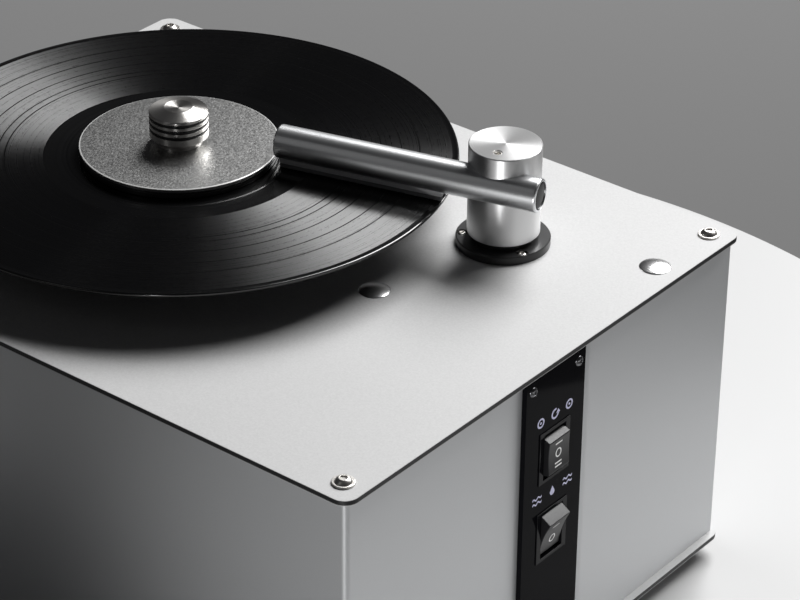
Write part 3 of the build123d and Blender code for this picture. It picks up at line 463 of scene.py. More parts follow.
def small_screw(shank):
    """Small dome-headed screw of the arm's flange and the control panel."""
    return button_screw("screw", head_radius=2.9, head_height=1.6, shank_radius=1.5, socket=1.1, shank=shank)


# --- node groups shared by the materials ------------------------------------------------------------
def feed(tree, socket, value):
    """Link a socket to another node's output, or set its value."""
    if isinstance(value, bpy.types.NodeSocket):
        tree.links.new(value, socket)
    else:
        socket.default_value = value


def maths(tree, operation, first, second=0.0):
    """Math node on two sockets or numbers."""
    made = tree.nodes.new("ShaderNodeMath")
    made.operation = operation
    feed(tree, made.inputs[0], first)
    feed(tree, made.inputs[1], second)
    return made.outputs[0]


def noise(tree, vector, scale, detail, rough):
    """Noise texture's value."""
    made = tree.nodes.new("ShaderNodeTexNoise")
    feed(tree, made.inputs["Vector"], vector)
    feed(tree, made.inputs["Scale"], scale)
    feed(tree, made.inputs["Detail"], detail)
    feed(tree, made.inputs["Roughness"], rough)
    return made.outputs["Fac"]


def ring_noise(tree, distance, pitch):
    """Noise that changes only with a distance."""
    made = tree.nodes.new("ShaderNodeTexNoise")
    made.noise_dimensions = "1D"
    feed(tree, made.inputs["W"], maths(tree, "DIVIDE", distance, pitch))
    feed(tree, made.inputs["Scale"], 1.0)
    feed(tree, made.inputs["Detail"], 3.0)
    return made.outputs["Fac"]


def separated(tree, vector):
    """X, Y and Z of a vector."""
    parts = tree.nodes.new("ShaderNodeSeparateXYZ")
    feed(tree, parts.inputs[0], vector)
    return parts.outputs


def distance_from_axis(tree, vector):
    """Distance from the Z axis."""
    parts = separated(tree, vector)
    flat = tree.nodes.new("ShaderNodeCombineXYZ")
    for axis in (0, 1):
        feed(tree, flat.inputs[axis], parts[axis])
    made = tree.nodes.new("ShaderNodeVectorMath")
    made.operation = "LENGTH"
    feed(tree, made.inputs[0], flat.outputs[0])
    return made.outputs["Value"]


def about(tree, value, spread):
    """One plus a noise value about its middle, times a spread."""
    centred = maths(tree, "SUBTRACT", value, 0.5)
    return maths(tree, "ADD", maths(tree, "MULTIPLY", centred, spread), 1.0)


def toned(tree, colour_value, factor):
    """Colour times a factor."""
    made = tree.nodes.new("ShaderNodeVectorMath")
    made.operation = "SCALE"
    feed(tree, made.inputs[0], colour_value)
    feed(tree, made.inputs["Scale"], factor)
    return made.outputs[0]


def pattern_group(name, spacing, draw):
    """Group, built once, that varies a colour and a roughness with a pattern, and gives a bump's height.

    Tone is how strongly the pattern tones both, Smudge how strongly smudges wear the roughness. The draw
    function makes the pattern, the smudges and the height from the vector and the spacing.
    """
    if name in bpy.data.node_groups:
        return bpy.data.node_groups[name]
    group = bpy.data.node_groups.new(name, "ShaderNodeTree")
    kinds = {"Vector": "NodeSocketVector", "Colour": "NodeSocketColor"}
    for side, labels in (("INPUT", ("Vector", "Colour", "Roughness", spacing, "Tone", "Smudge")),
                         ("OUTPUT", ("Colour", "Roughness", "Height"))):
        for label in labels:
            group.interface.new_socket(
                name=label, in_out=side, socket_type=kinds.get(label, "NodeSocketFloat"))
    given = group.nodes.new("NodeGroupInput").outputs
    result = group.nodes.new("NodeGroupOutput").inputs
    pattern, smudges, height = draw(group, given["Vector"], given[spacing])
    tone = about(group, pattern, given["Tone"])
    worn = maths(group, "MULTIPLY", given["Roughness"], about(group, smudges, given["Smudge"]))
    feed(group, result["Colour"], toned(group, given["Colour"], tone))
    feed(group, result["Roughness"], maths(group, "MULTIPLY", worn, tone))
    feed(group, result["Height"], height)
    return group


def satin_grain():
    """Fine even grain of blasted, anodised or moulded surfaces, with faint handling marks."""
    def draw(group, vector, scale):
        grain = noise(group, vector, scale, detail=2.0, rough=0.6)
        return grain, noise(group, vector, 14.0, detail=4.0, rough=0.55), grain
    return pattern_group("Satin grain", "Grain", draw)


def turned_rings():
    """Concentric tool marks of a lathe."""
    def draw(group, vector, pitch):
        rings = ring_noise(group, distance_from_axis(group, vector), pitch)
        return rings, noise(group, vector, 60.0, detail=3.0, rough=0.5), rings
    return pattern_group("Turned rings", "Pitch", draw)


def record_grooves():
    """Fine grooves with the broken streaks that their sound leaves across them."""
    def draw(group, vector, pitch):
        radius = distance_from_axis(group, vector)
        rings = ring_noise(group, radius, pitch)
        parts = separated(group, vector)
        polar = group.nodes.new("ShaderNodeCombineXYZ")
        for axis in (0, 1):
            around = maths(group, "DIVIDE", parts[axis], radius)
            feed(group, polar.inputs[axis], maths(group, "MULTIPLY", around, 50.0))
        feed(group, polar.inputs[2], maths(group, "MULTIPLY", radius, 220.0))
        streaks = noise(group, polar.outputs[0], 1.0, detail=4.0, rough=0.7)
        return rings, streaks, maths(group, "ADD", streaks, maths(group, "MULTIPLY", rings, 0.15))
    return pattern_group("Record grooves", "Pitch", draw)


def line_marks():
    """Fine marks that run round a bar: they change only along the mapped X axis."""
    def draw(group, vector, pitch):
        lines = ring_noise(group, separated(group, vector)[0], pitch)
        return lines, noise(group, vector, 40.0, detail=3.0, rough=0.5), lines
    return pattern_group("Line marks", "Pitch", draw)


# --- materials --------------------------------------------------------------------------------------
# the numbers after a colour are the roughness, the grain or pitch, the tone, the smudge and the bump
def rgba(values):
    """Colour with full alpha."""
    return (*values[:3], 1.0)


def shader_of(material):
    """The material's Principled BSDF."""
    return material.node_tree.nodes["Principled BSDF"]


def plain_material(name):
    """New material with nodes, its node tree and its shader."""
    made = bpy.data.materials.new(name)
    made.use_nodes = True
    return made, made.node_tree, shader_of(made)


def material_from(name, group, colour_value, roughness, grain, tone, smudge, centre=(0, 0, 0),
                  turn=(0, 0, 0), bump=0.0, bump_depth=0.02 * MM):
    """Principled material whose colour, roughness and bump come from one of the shared groups."""
    if name in bpy.data.materials:
        return bpy.data.materials[name]
    made, tree, shader = plain_material(name)
    made.diffuse_color = rgba(colour_value)
    place = tree.nodes.new("ShaderNodeTexCoord")
    mapping = tree.nodes.new("ShaderNodeMapping")
    mapping.vector_type = "TEXTURE"
    mapping.inputs["Location"].default_value = centre
    mapping.inputs["Rotation"].default_value = turn
    feed(tree, mapping.inputs["Vector"], place.outputs["Object"])
    pattern = tree.nodes.new("ShaderNodeGroup")
    pattern.node_tree = group
    feed(tree, pattern.inputs["Vector"], mapping.outputs["Vector"])
    for i, value in enumerate((rgba(colour_value), roughness, grain, tone, smudge), 1):
        pattern.inputs[i].default_value = value
    feed(tree, shader.inputs["Base Color"], pattern.outputs["Colour"])
    feed(tree, shader.inputs["Roughness"], pattern.outputs["Roughness"])
    if bump:
        relief = tree.nodes.new("ShaderNodeBump")
        relief.inputs["Strength"].default_value = bump
        relief.inputs["Distance"].default_value = bump_depth
        feed(tree, relief.inputs["Height"], pattern.outputs["Height"])
        feed(tree, shader.inputs["Normal"], relief.outputs["Normal"])
    return made


def metallic(material, amount=1.0):
    """Bare metal, or metal under a film that hides part of its shine."""
    shader_of(material).inputs["Metallic"].default_value = amount
    return material


def specular(material, level):
    """Set how much of the room a plastic or varnish mirrors; 0.5 is the usual level."""
    shader_of(material).inputs["Specular IOR Level"].default_value = level
    return material


def lathe_gloss(material, amount, uv_map=None):
    """Highlight drawn out across the tool marks, which run round the axis."""
    tree = material.node_tree
    tangent = tree.nodes.new("ShaderNodeTangent")
    if uv_map:
        tangent.direction_type = "UV_MAP"
        tangent.uv_map = uv_map
    else:
        tangent.direction_type = "RADIAL"
        tangent.axis = "Z"
    shader = shader_of(material)
    shader.inputs["Anisotropic"].default_value = amount
    shader.inputs["Anisotropic Rotation"].default_value = 0.25
    feed(tree, shader.inputs["Tangent"], tangent.outputs["Tangent"])
    return material


def satin_metal(name, colour_value, roughness, grain=1500.0, tone=0.08, smudge=0.10, bump=0.15):
    """Anodised, blasted or plated metal."""
    return metallic(material_from(name, satin_grain(), colour_value, roughness, grain, tone, smudge,
                                  bump=bump, bump_depth=0.01 * MM))


def moulded(name, colour_value, roughness, grain=1200.0, tone=0.15, smudge=0.15, bump=0.2):
    """Plastic or rubber with a fine moulded texture."""
    return material_from(name, satin_grain(), colour_value, roughness, grain, tone, smudge,
                         bump=bump, bump_depth=0.02 * MM)


def turned_metal(name, colour_value, roughness, axis, pitch, tone=0.10, gloss=0.75):
    """Lathe-turned metal about an upright axis."""
    made = metallic(material_from(name, turned_rings(), colour_value, roughness, pitch, tone, 0.1,
                                  centre=(*axis, 0), bump=0.10, bump_depth=0.01 * MM))
    return lathe_gloss(made, gloss)


# --- stage ------------------------------------------------------------------------------------------
class Step:
    """What the steps share."""
    bl_options = {"REGISTER", "UNDO"}


def facing(away):
    """Turn of a light that shines against a direction."""
    return away.to_track_quat("Z", "Y").to_euler()


class CLEANER_OT_stage(Step, Operator):
    """Lay the table, hang the softbox and set up the camera"""
    bl_idname = "cleaner.stage"
    bl_label = "Set the stage"

    # the table is in millimetres, the rest in metres
    table_middle, table_thickness = (-20, 30), 3
    ground_radius = 12
    fill_size, fill_place, fill_turn = (0.26, 1.3), (1.45, 0.20, 0.16), (0, radians(90), 0)
    card_size, card_direction, card_distance = (0.35, 1.6), Vector((-0.141, -0.733, 0.667)), 2.2
    lamp_place, lamp_aim = Vector((0.58, -0.98, 0.07)), Vector((0.28, -0.20, 0.12))
    lamp_cone, lamp_radius = radians(29), 0.05
    camera_place = (PLATE_X + 0.965071, -1.072866, 1.025100)
    camera_right = Vector((0.7776626, 0.62863813, 0.00741497))
    camera_up = Vector((-0.32805555, 0.39570633, 0.85778555))

    def execute(self, context):
        settings = context.scene.cleaner_stage
        table = rod("table", settings.table_radius / MM, -self.table_thickness, 0, self.table_middle, 256)
        rounded(table, 1.0 * MM, 3)
        top = moulded("table top", settings.table_colour, 0.45, 600.0, 0.02, 0.05, 0.02)
        table.data.materials.append(top)
        start_clean()
        bpy.ops.mesh.primitive_circle_add(
            vertices=96, radius=self.ground_radius, fill_type="NGON",
            location=(0, 0, -self.table_thickness * MM))
        ground = settle(named(bpy.context.object, "ground"))
        ground.data.materials.append(self.ground_with_painted_light(settings))
        self.lights(context, settings)
        self.camera(context, settings)
        context.scene.view_settings.view_transform = "Standard"
        return {"FINISHED"}

    def ground_with_painted_light(self, settings):
        """Plain grey with painted light: it pales a little towards the left, as if lit more there."""
        made, tree, shader = plain_material("ground")
        place = tree.nodes.new("ShaderNodeTexCoord")
        # painted light falloff: the grey is scaled from 1.6 at the left down to 0.5 at the right
        painted_light_fade = tree.nodes.new("ShaderNodeMapRange")
        feed(tree, painted_light_fade.inputs["Value"], separated(tree, place.outputs["Object"])[0])
        for label, value in (("From Min", -1.5), ("From Max", 0.5), ("To Min", 1.6), ("To Max", 0.50)):
            feed(tree, painted_light_fade.inputs[label], value)
        feed(tree, shader.inputs["Base Color"], toned(tree, settings.ground_colour, painted_light_fade.outputs["Result"]))
        shader.inputs["Roughness"].default_value = 0.8
        return made

    def light(self, kind, name, watts, place, turn):
        """One light that the camera itself doesn't see."""
        start_clean()
        bpy.ops.object.light_add(type=kind, location=place, rotation=turn)
        light = bpy.context.object
        light.name = name
        light.data.energy = watts
        light.visible_camera = False
        return light.data

    def area_light(self, name, size, watts, place, turn):
        """One soft rectangular light."""
        light = self.light("AREA", name, watts, place, turn)
        light.shape = "RECTANGLE"
        light.size, light.size_y = size

    def lights(self, context, settings):
        """Softbox behind and above, weak fill at the side, faint card, corner lamp and a dim room."""
        flat = cos(settings.softbox_rise)
        towards = Vector((-sin(settings.softbox_side) * flat, cos(settings.softbox_side) * flat,
                          sin(settings.softbox_rise)))
        self.area_light("softbox", (settings.softbox_width, settings.softbox_height), settings.softbox_power,
                        Vector((*TURNTABLE, RECORD_TOP)) + towards * settings.softbox_distance,
                        facing(towards))
        self.area_light("fill", self.fill_size, settings.fill_power, self.fill_place, self.fill_turn)
        self.area_light("card", self.card_size, settings.card_power,
                        self.card_direction * self.card_distance, facing(self.card_direction))
        lamp = self.light("SPOT", "corner lamp", settings.lamp_power, self.lamp_place,
                          facing(self.lamp_place - self.lamp_aim))
        lamp.spot_size = self.lamp_cone
        lamp.spot_blend = 1.0
        lamp.shadow_soft_size = self.lamp_radius
        world = bpy.data.worlds.new("room")
        context.scene.world = world
        world.use_nodes = True
        air = world.node_tree.nodes["Background"]
        air.inputs["Color"].default_value = rgba(settings.air_colour)

    def camera(self, context, settings):
        """Long lens from the front right, above the record."""
        start_clean()
        bpy.ops.object.camera_add()
        camera = bpy.context.object
        camera.name = "camera"
        right, up = self.camera_right, self.camera_up
        turn = Matrix((right, up, right.cross(up))).transposed()
        camera.matrix_world = Matrix.Translation(self.camera_place) @ turn.to_4x4()
        camera.data.lens = settings.camera_lens
        camera.data.sensor_width = 36.0
        camera.data.clip_end = 50.0
        context.scene.camera = camera


# --- cabinet ----------------------------------------------------------------------------------------
class CLEANER_OT_cabinet(Step, Operator):
    """Finish the panels, walls, rear fittings and corner posts"""
    bl_idname = "cleaner.cabinet"
    bl_label = "Finish the cabinet"

    def execute(self, context):
        settings = context.scene.cleaner_cabinet
        black = context.scene.cleaner_fasteners.black_colour
        skin = satin_metal(
            "panel skin", settings.plate_colour, settings.plate_roughness, 900.0, 0.30, 0.05, 0.30)
        dress(metallic(skin, 0.22), "top_panel_skins", "bottom_panel_skins")
        dress(moulded("panel core", settings.core_colour, 0.42, 900.0), "top_panel_core", "bottom_panel_core")
        wall = satin_metal("cabinet wall", settings.wall_colour, settings.wall_roughness, 1300.0, 0.06, 0.06)
        dress(metallic(wall, 0.6), "cabinet_wrap", "rear_panel")
        dress(satin_metal("bare aluminium", (0.72, 0.72, 0.73), 0.38, 500.0),
              "corner_posts", "power_supply", "bearing_housing", "guide_sleeve", "lift_post")
        dress(satin_metal("dark screws", black, 0.35), "bottom_screws")
        dress(satin_metal("black screws", black, 0.30), "rear_screws", "bearing_screws")
        dress(moulded("inlet plastic", context.scene.cleaner_switches.plastic_colour, 0.35), "mains_inlet")
        dress(satin_metal("plain steel", (0.62, 0.61, 0.60), 0.30, 800.0),
              "spindle", "motor_shaft", "fan_shaft", "lift_spring", "gear_motor", "motor_bracket",
              "fan_housing", "fan_motor_case", "motor_cradle", "inlet_pins")
        return {"FINISHED"}


class CLEANER_OT_drive(Step, Operator):
    """Finish the turntable drive and the vacuum unit inside the cabinet"""
    bl_idname = "cleaner.drive"
    bl_label = "Finish the drive and vacuum unit"

    def execute(self, context):
        rubber = context.scene.cleaner_cabinet.rubber_colour
        dress(satin_metal("bronze", (0.55, 0.36, 0.18), 0.35, 700.0), "spindle_bush")
        dress(satin_metal("platter", (0.045, 0.045, 0.047), 0.38, 1500.0), "platter", "drive_coupling")
        dress(moulded("platter mat", rubber, 0.75, 1800.0, 0.3, 0.1, 0.5), "platter_mat")
        dress(moulded("tank plastic", (0.62, 0.63, 0.60), 0.38, 300.0), "waste_tank", "tank_lid", "impeller")
        dress(moulded("drain plug", (0.03, 0.03, 0.032), 0.5), "drain_plug")
        dress(moulded("hose rubber", rubber, 0.55), "suction_hose", "fan_sleeve")
        dress(moulded("pad carrier", (0.02, 0.02, 0.021), 0.4), "thrust_washer")
        dress(moulded("wire sleeve", (0.03, 0.03, 0.03), 0.45), "wiring_loom")
        return {"FINISHED"}


class CLEANER_OT_feet(Step, Operator):
    """Model the four rubber feet"""
    bl_idname = "cleaner.feet"
    bl_label = "Make the feet"

    def execute(self, context):
        radius = 12.5
        foot = turned("foot", [
            (0, 3.2), (4.6, 3.2), (4.9, 2.9), (5.2, 0.4), (5.8, 0.0), (11.0, 0.0), (11.9, 0.35), (12.35, 0.9),
            (radius, 1.6), (12.1, 9.6), (11.9, 10.0), (0, 10.0)], 64)
        rounded(foot, 0.2 * MM)
        feet = repeated("feet_rubber", foot, [(x, y, 0) for x, y in corners_of("feet", radius * MM)])
        rubber = context.scene.cleaner_cabinet.rubber_colour
        finished(feet, moulded("foot rubber", rubber, 0.6, 1500.0, 0.2, 0.2, 0.3), "housing", "feet")
        return {"FINISHED"}


# --- record and clamp -------------------------------------------------------------------------------
class CLEANER_OT_record(Step, Operator):
    """Press the record with its label, run-out, bands of grooves and raised rim"""
    bl_idname = "cleaner.record"
    bl_label = "Make the record"

    run_out_lines = (63.8, 70.8)
    line_half, line_depth = 0.2, 0.05
    track_gaps = (94.2, 98.8, 108.9, 119.7, 129.4)
    gap_half, gap_floor_half, gap_depth = 0.36, 0.22, 0.04
    grooves_from, grooves_to = 73.5, 147.0
    level = -0.2
    thickness = 1.9
    paper = 0.04

    def execute(self, context):
        settings = context.scene.cleaner_record
        record = turned("record_vinyl", self.section(), 256)
        settle(record, move=(*TURNTABLE, RECORD_TOP))
        smooth(record, 45)
        centre = (*TURNTABLE, 0)
        plain = material_from("record vinyl", turned_rings(), settings.vinyl_colour, 0.16, 1.2 * MM, 0.3, 0.1,
                              centre=centre, bump=0.05)
        grooved = material_from(
            "record grooves", record_grooves(), settings.vinyl_colour, settings.groove_roughness,
            0.55 * MM, 1.1, 0.8, centre=centre, bump=0.8, bump_depth=0.03 * MM)
        finished(record, specular(lathe_gloss(plain, 0.5), 1.0), "turntable", "record")
        second_finish(record, specular(lathe_gloss(grooved, 1.0), 1.0), self.in_grooves)
        self.label(settings)
        return {"FINISHED"}

    def section(self):
        """Half section: from the spindle's hole over the label and the grooves to the rim, and back below."""
        level = self.level
        face = [(4.0, 0.0), (49.9, 0.0), (50.2, -0.06), (51.0, -0.10), (51.6, -0.04), (52.2, 0.0),
                (60.0, 0.0), (60.5, -0.05), (61.0, -0.17), (61.4, level)]
        for line in self.run_out_lines:
            face += [(line - self.line_half, level), (line, level - self.line_depth),
                     (line + self.line_half, level)]
        face.append((self.grooves_from, level))
        for gap in self.track_gaps:
            face += [(gap - self.gap_half, level), (gap - self.gap_floor_half, level - self.gap_depth),
                     (gap + self.gap_floor_half, level - self.gap_depth), (gap + self.gap_half, level)]
        face += [(self.grooves_to, level), (148.3, level), (148.8, -0.13), (149.3, -0.04), (149.8, 0.0),
                 (150.2, -0.02), (150.55, -0.15), (150.75, -0.38)]
        upper = [(3.65, -0.3), (3.75, -0.08), *face, (150.8, -0.65)]
        lower = [(radius, -self.thickness - height) for radius, height in reversed(upper)]
        return [*upper, *lower, upper[0]]

    def in_grooves(self, place, normal):
        """Whether a face lies in one of the grooved bands between the gaps."""
        edges = [gap + side for gap in self.track_gaps for side in (-self.gap_half, self.gap_half)]
        edges = [self.grooves_from, *edges, self.grooves_to]
        radius = (place.xy - TURNTABLE).length / MM
        return abs(normal.z) > 0.9 and any(low < radius < high for low, high in zip(edges[::2], edges[1::2]))

    def label(self, settings):
        """Blank paper label on each side."""
        hole, radius, below = 3.9, settings.label_radius / MM, -self.thickness
        labels = []
        for low, high in ((0.0, self.paper), (below - self.paper, below)):
            label = turned("label", [
                (hole, low), (hole, high), (radius - 0.15, high), (radius, (low + high) / 2),
                (radius - 0.15, low), (hole, low)], 128)
            labels.append(settle(label, move=(*TURNTABLE, RECORD_TOP)))
        paper = moulded("label paper", settings.label_colour, 0.8, 2500.0, 0.08, 0.05, 0.2)
        finished(smooth(joined("record_label", *labels)), paper, "turntable")


class CLEANER_OT_clamp(Step, Operator):
    """Turn the clamp's disc, seal, knob and grip rings"""
    bl_idname = "cleaner.clamp"
    bl_label = "Make the clamp"

    groove_heights = (9.4, 13.1, 16.6)
    groove_width = 1.8
    groove_floor = 14.3
    knob_radius = 16.0

    def execute(self, context):
        settings = context.scene.cleaner_clamp
        self.disc(settings)
        self.seal(context.scene.cleaner_cabinet)
        self.knob(settings)
        self.rings(context.scene.cleaner_cabinet)
        return {"FINISHED"}

    def disc(self, settings):
        """Blasted disc with a chamfered rim, bright partly as bare metal and partly as a painted highlight.
        """
        disc = turned("clamp_disc_metal", [
            (3.9, -2.1), (3.9, 0), (53.3, 0), (54.0, -0.3), (54.0, -1.9), (53.8, -2.1), (3.9, -2.1)], 192)
        rounded(disc, 0.1 * MM)
        settle(disc, move=(*TURNTABLE, CLAMP_TOP))
        metal = metallic(material_from(
            "clamp disc", satin_grain(), settings.disc_colour, settings.disc_roughness, 860.0, 0.7, 0.05,
            bump=1.0, bump_depth=0.10 * MM))
        finished(disc, metal, "clamp", "clamp_disc")
        # the chamfer faces get a paler, mostly matt colour: bare turned metal in part, and in part a painted
        # highlight that keeps the edge bright under any light
        bare = turned_metal("clamp disc rim", settings.rim_highlight_colour, 0.40, TURNTABLE, 0.2 * MM)
        second_finish(disc, metallic(bare, 0.2), lambda place, normal: 0.2 < normal.z < 0.99)

    def seal(self, cabinet):
        """Rubber ring with a moulded lip."""
        seal = turned("clamp_seal_rubber", [
            (39.2, 0.3), (39.5, 0), (52.6, 0), (53.2, 0.5), (53.2, 2.6), (52.7, 3.0), (52.7, 3.6),
            (53.1, 4.0), (39.2, 4.0), (39.2, 0.3)], 160)
        rounded(seal, 0.15 * MM)
        settle(seal, move=(*TURNTABLE, RECORD_TOP))
        rubber = moulded("seal rubber", cabinet.rubber_colour, 0.28, 1800.0, 0.2, 0.1, 0.15)
        finished(seal, rubber, "clamp", "clamp_seal")

    def knob(self, settings):
        """Steel knob with three grooves, a coned end and a shallow hollow in its middle."""
        radius = self.knob_radius
        outline = [(0, 15.0), (3.9, 15.0), (3.9, 0.0), (12.0, 0.0), (12.0, 1.1), (radius, 4.9)]
        for height in self.groove_heights:
            low, high = height - self.groove_width / 2, height + self.groove_width / 2
            outline += [(radius, low), (self.groove_floor, low), (self.groove_floor, high), (radius, high)]
        outline += [(radius, 18.8), (15.6, 19.2), (7.7, 21.2), (0, 20.5)]
        knob = turned("clamp_knob_metal", outline, 160)
        rounded(knob, settings.knob_edge, 2, 12)
        settle(knob, move=(*TURNTABLE, CLAMP_TOP))
        metal = turned_metal("clamp knob", settings.knob_colour, 0.29, TURNTABLE, 0.2 * MM, 0.12)
        finished(knob, metal, "clamp", "clamp_knob")

    def rings(self, cabinet):
        """Rubber rings in the knob's grooves."""
        section = 0.85 * MM
        rings = []
        for height in self.groove_heights:
            start_clean()
            bpy.ops.mesh.primitive_torus_add(
                major_radius=self.groove_floor * MM + section, minor_radius=section, major_segments=128,
                minor_segments=16, location=(*TURNTABLE, CLAMP_TOP + height * MM))
            rings.append(settle(bpy.context.object))
        rings = smooth(joined("knob_grip_rings", *rings), 60)
        rubber = moulded("ring rubber", cabinet.rubber_colour, 0.32, 2200.0, 0.2, 0.1, 0.15)
        finished(rings, rubber, "clamp", "knob_rings")


# --- suction arm ------------------------------------------------------------------------------------
def arm_place(piece):
    """Lay a piece made along +X on the tube's axis."""
    return settle(piece, turn=(0, 0, ARM_ANGLE), move=ARM_FRAME)


class CLEANER_OT_arm_base(Step, Operator):
    """Turn the black flange under the arm and set its three screws"""
    bl_idname = "cleaner.arm_base"
    bl_label = "Make the arm's flange"

    screw_angles = (94.0, 214.0, 334.0)
    screw_circle = 21.9
    screw_seat = 3.4
    bore_radius, bore_top = 3.15, 9

    def execute(self, context):
        settings = context.scene.cleaner_arm
        flange = turned("flange_metal", [
            (15.1, 0), (25.3, 0), (25.3, 4.1), (24.8, 4.6), (17.0, 4.6), (17.0, 7.4), (15.1, 7.4), (15.1, 0)],
            128)
        circle = [(self.screw_circle * cos(radians(turn)), self.screw_circle * sin(radians(turn)))
                  for turn in self.screw_angles]
        bores = [rod("bore", self.bore_radius, self.screw_seat, self.bore_top, place) for place in circle]
        combine(flange, joined("bores", *bores))
        rounded(flange, 0.18 * MM)
        settle(flange, move=(*COLUMN, PLATE_TOP))
        metal = satin_metal("arm flange", settings.flange_colour, 0.30, 1500.0, 0.2, 0.1)
        finished(flange, metallic(metal, 0.3), "housing", "arm_flange")
        seat = PLATE_TOP + self.screw_seat * MM
        screws = repeated("flange_screw_set", small_screw(3.2),
                          [(COLUMN.x + x * MM, COLUMN.y + y * MM, seat) for x, y in circle])
        steel = satin_metal(
            "flange screws", context.scene.cleaner_fasteners.steel_colour, 0.25, 900.0, 0.05, 0.1, 0.0)
        finished(screws, steel, "housing", "flange_screws")
        return {"FINISHED"}


class CLEANER_OT_arm_column(Step, Operator):
    """Turn the arm's column, bore it for the tube and set its screw"""
    bl_idname = "cleaner.arm_column"
    bl_label = "Make the arm's column"

    radius = 19.5
    foot = 213.7
    chamber_top = 254.0
    post_top = 233.0
    screw_offset = 11.2 * MM
    screw_radius = 2.5
    screw_hole = (250, 270)

    def execute(self, context):
        settings = context.scene.cleaner_arm
        radius, foot, top = self.radius, self.foot, COLUMN_TOP / MM
        column = turned("arm_column_metal", [
            (0, self.chamber_top), (9.0, self.chamber_top), (9.0, self.post_top), (12.05, self.post_top),
            (12.05, foot), (radius - 0.3, foot), (radius, foot + 0.3), (radius, top - 0.5),
            (radius - 0.5, top), (0, top)], 192)
        settle(column, move=(*COLUMN, 0))
        tool = settle(rod("tube bore", TUBE_RADIUS, -40, 40, sides=128), turn=ALONG_X)
        combine(column, arm_place(tool))
        screw_x, screw_y = beside_column(self.screw_offset)
        place = (screw_x / MM, screw_y / MM)
        combine(column, rod("screw hole", self.screw_radius + 0.05, *self.screw_hole, place, 48))
        rounded(column, 0.12 * MM)
        metal = turned_metal("arm column", settings.metal_colour, 0.35, COLUMN, 0.5 * MM, 0.16, 0.60)
        finished(column, metal, "suction_arm", "arm_column")
        # the top faces get a darker colour and less metal than the sides: painted shade that tones down the
        # top where the softbox lights it most; its spin marks and gloss are its own finish
        cap = turned_metal("arm cap", settings.cap_painted_shade_colour, 0.38, COLUMN, 0.5 * MM, 0.22, 0.85)
        second_finish(column, metallic(cap, 0.5), lambda place, normal: place.z > COLUMN_TOP - 0.1 * MM)
        self.set_screw(context, screw_x, screw_y)
        return {"FINISHED"}

    def set_screw(self, context, x, y):
        """Headless screw that holds the tube."""
        radius = self.screw_radius
        screw = turned("arm_set_screw_steel", [
            (0, -8.8), (radius - 0.5, -8.8), (radius, -8.3), (radius, -0.35), (radius - 0.4, 0), (0, 0)], 48)
        combine(screw, hexagon(1.4, -2.5, 1))
        rounded(screw, 0.06 * MM)
        settle(screw, move=(x, y, COLUMN_TOP - 0.4 * MM))
        steel = satin_metal("set screw", context.scene.cleaner_fasteners.steel_colour, 0.25, 900.0)
        finished(screw, steel, "suction_arm", "arm_set_screw")


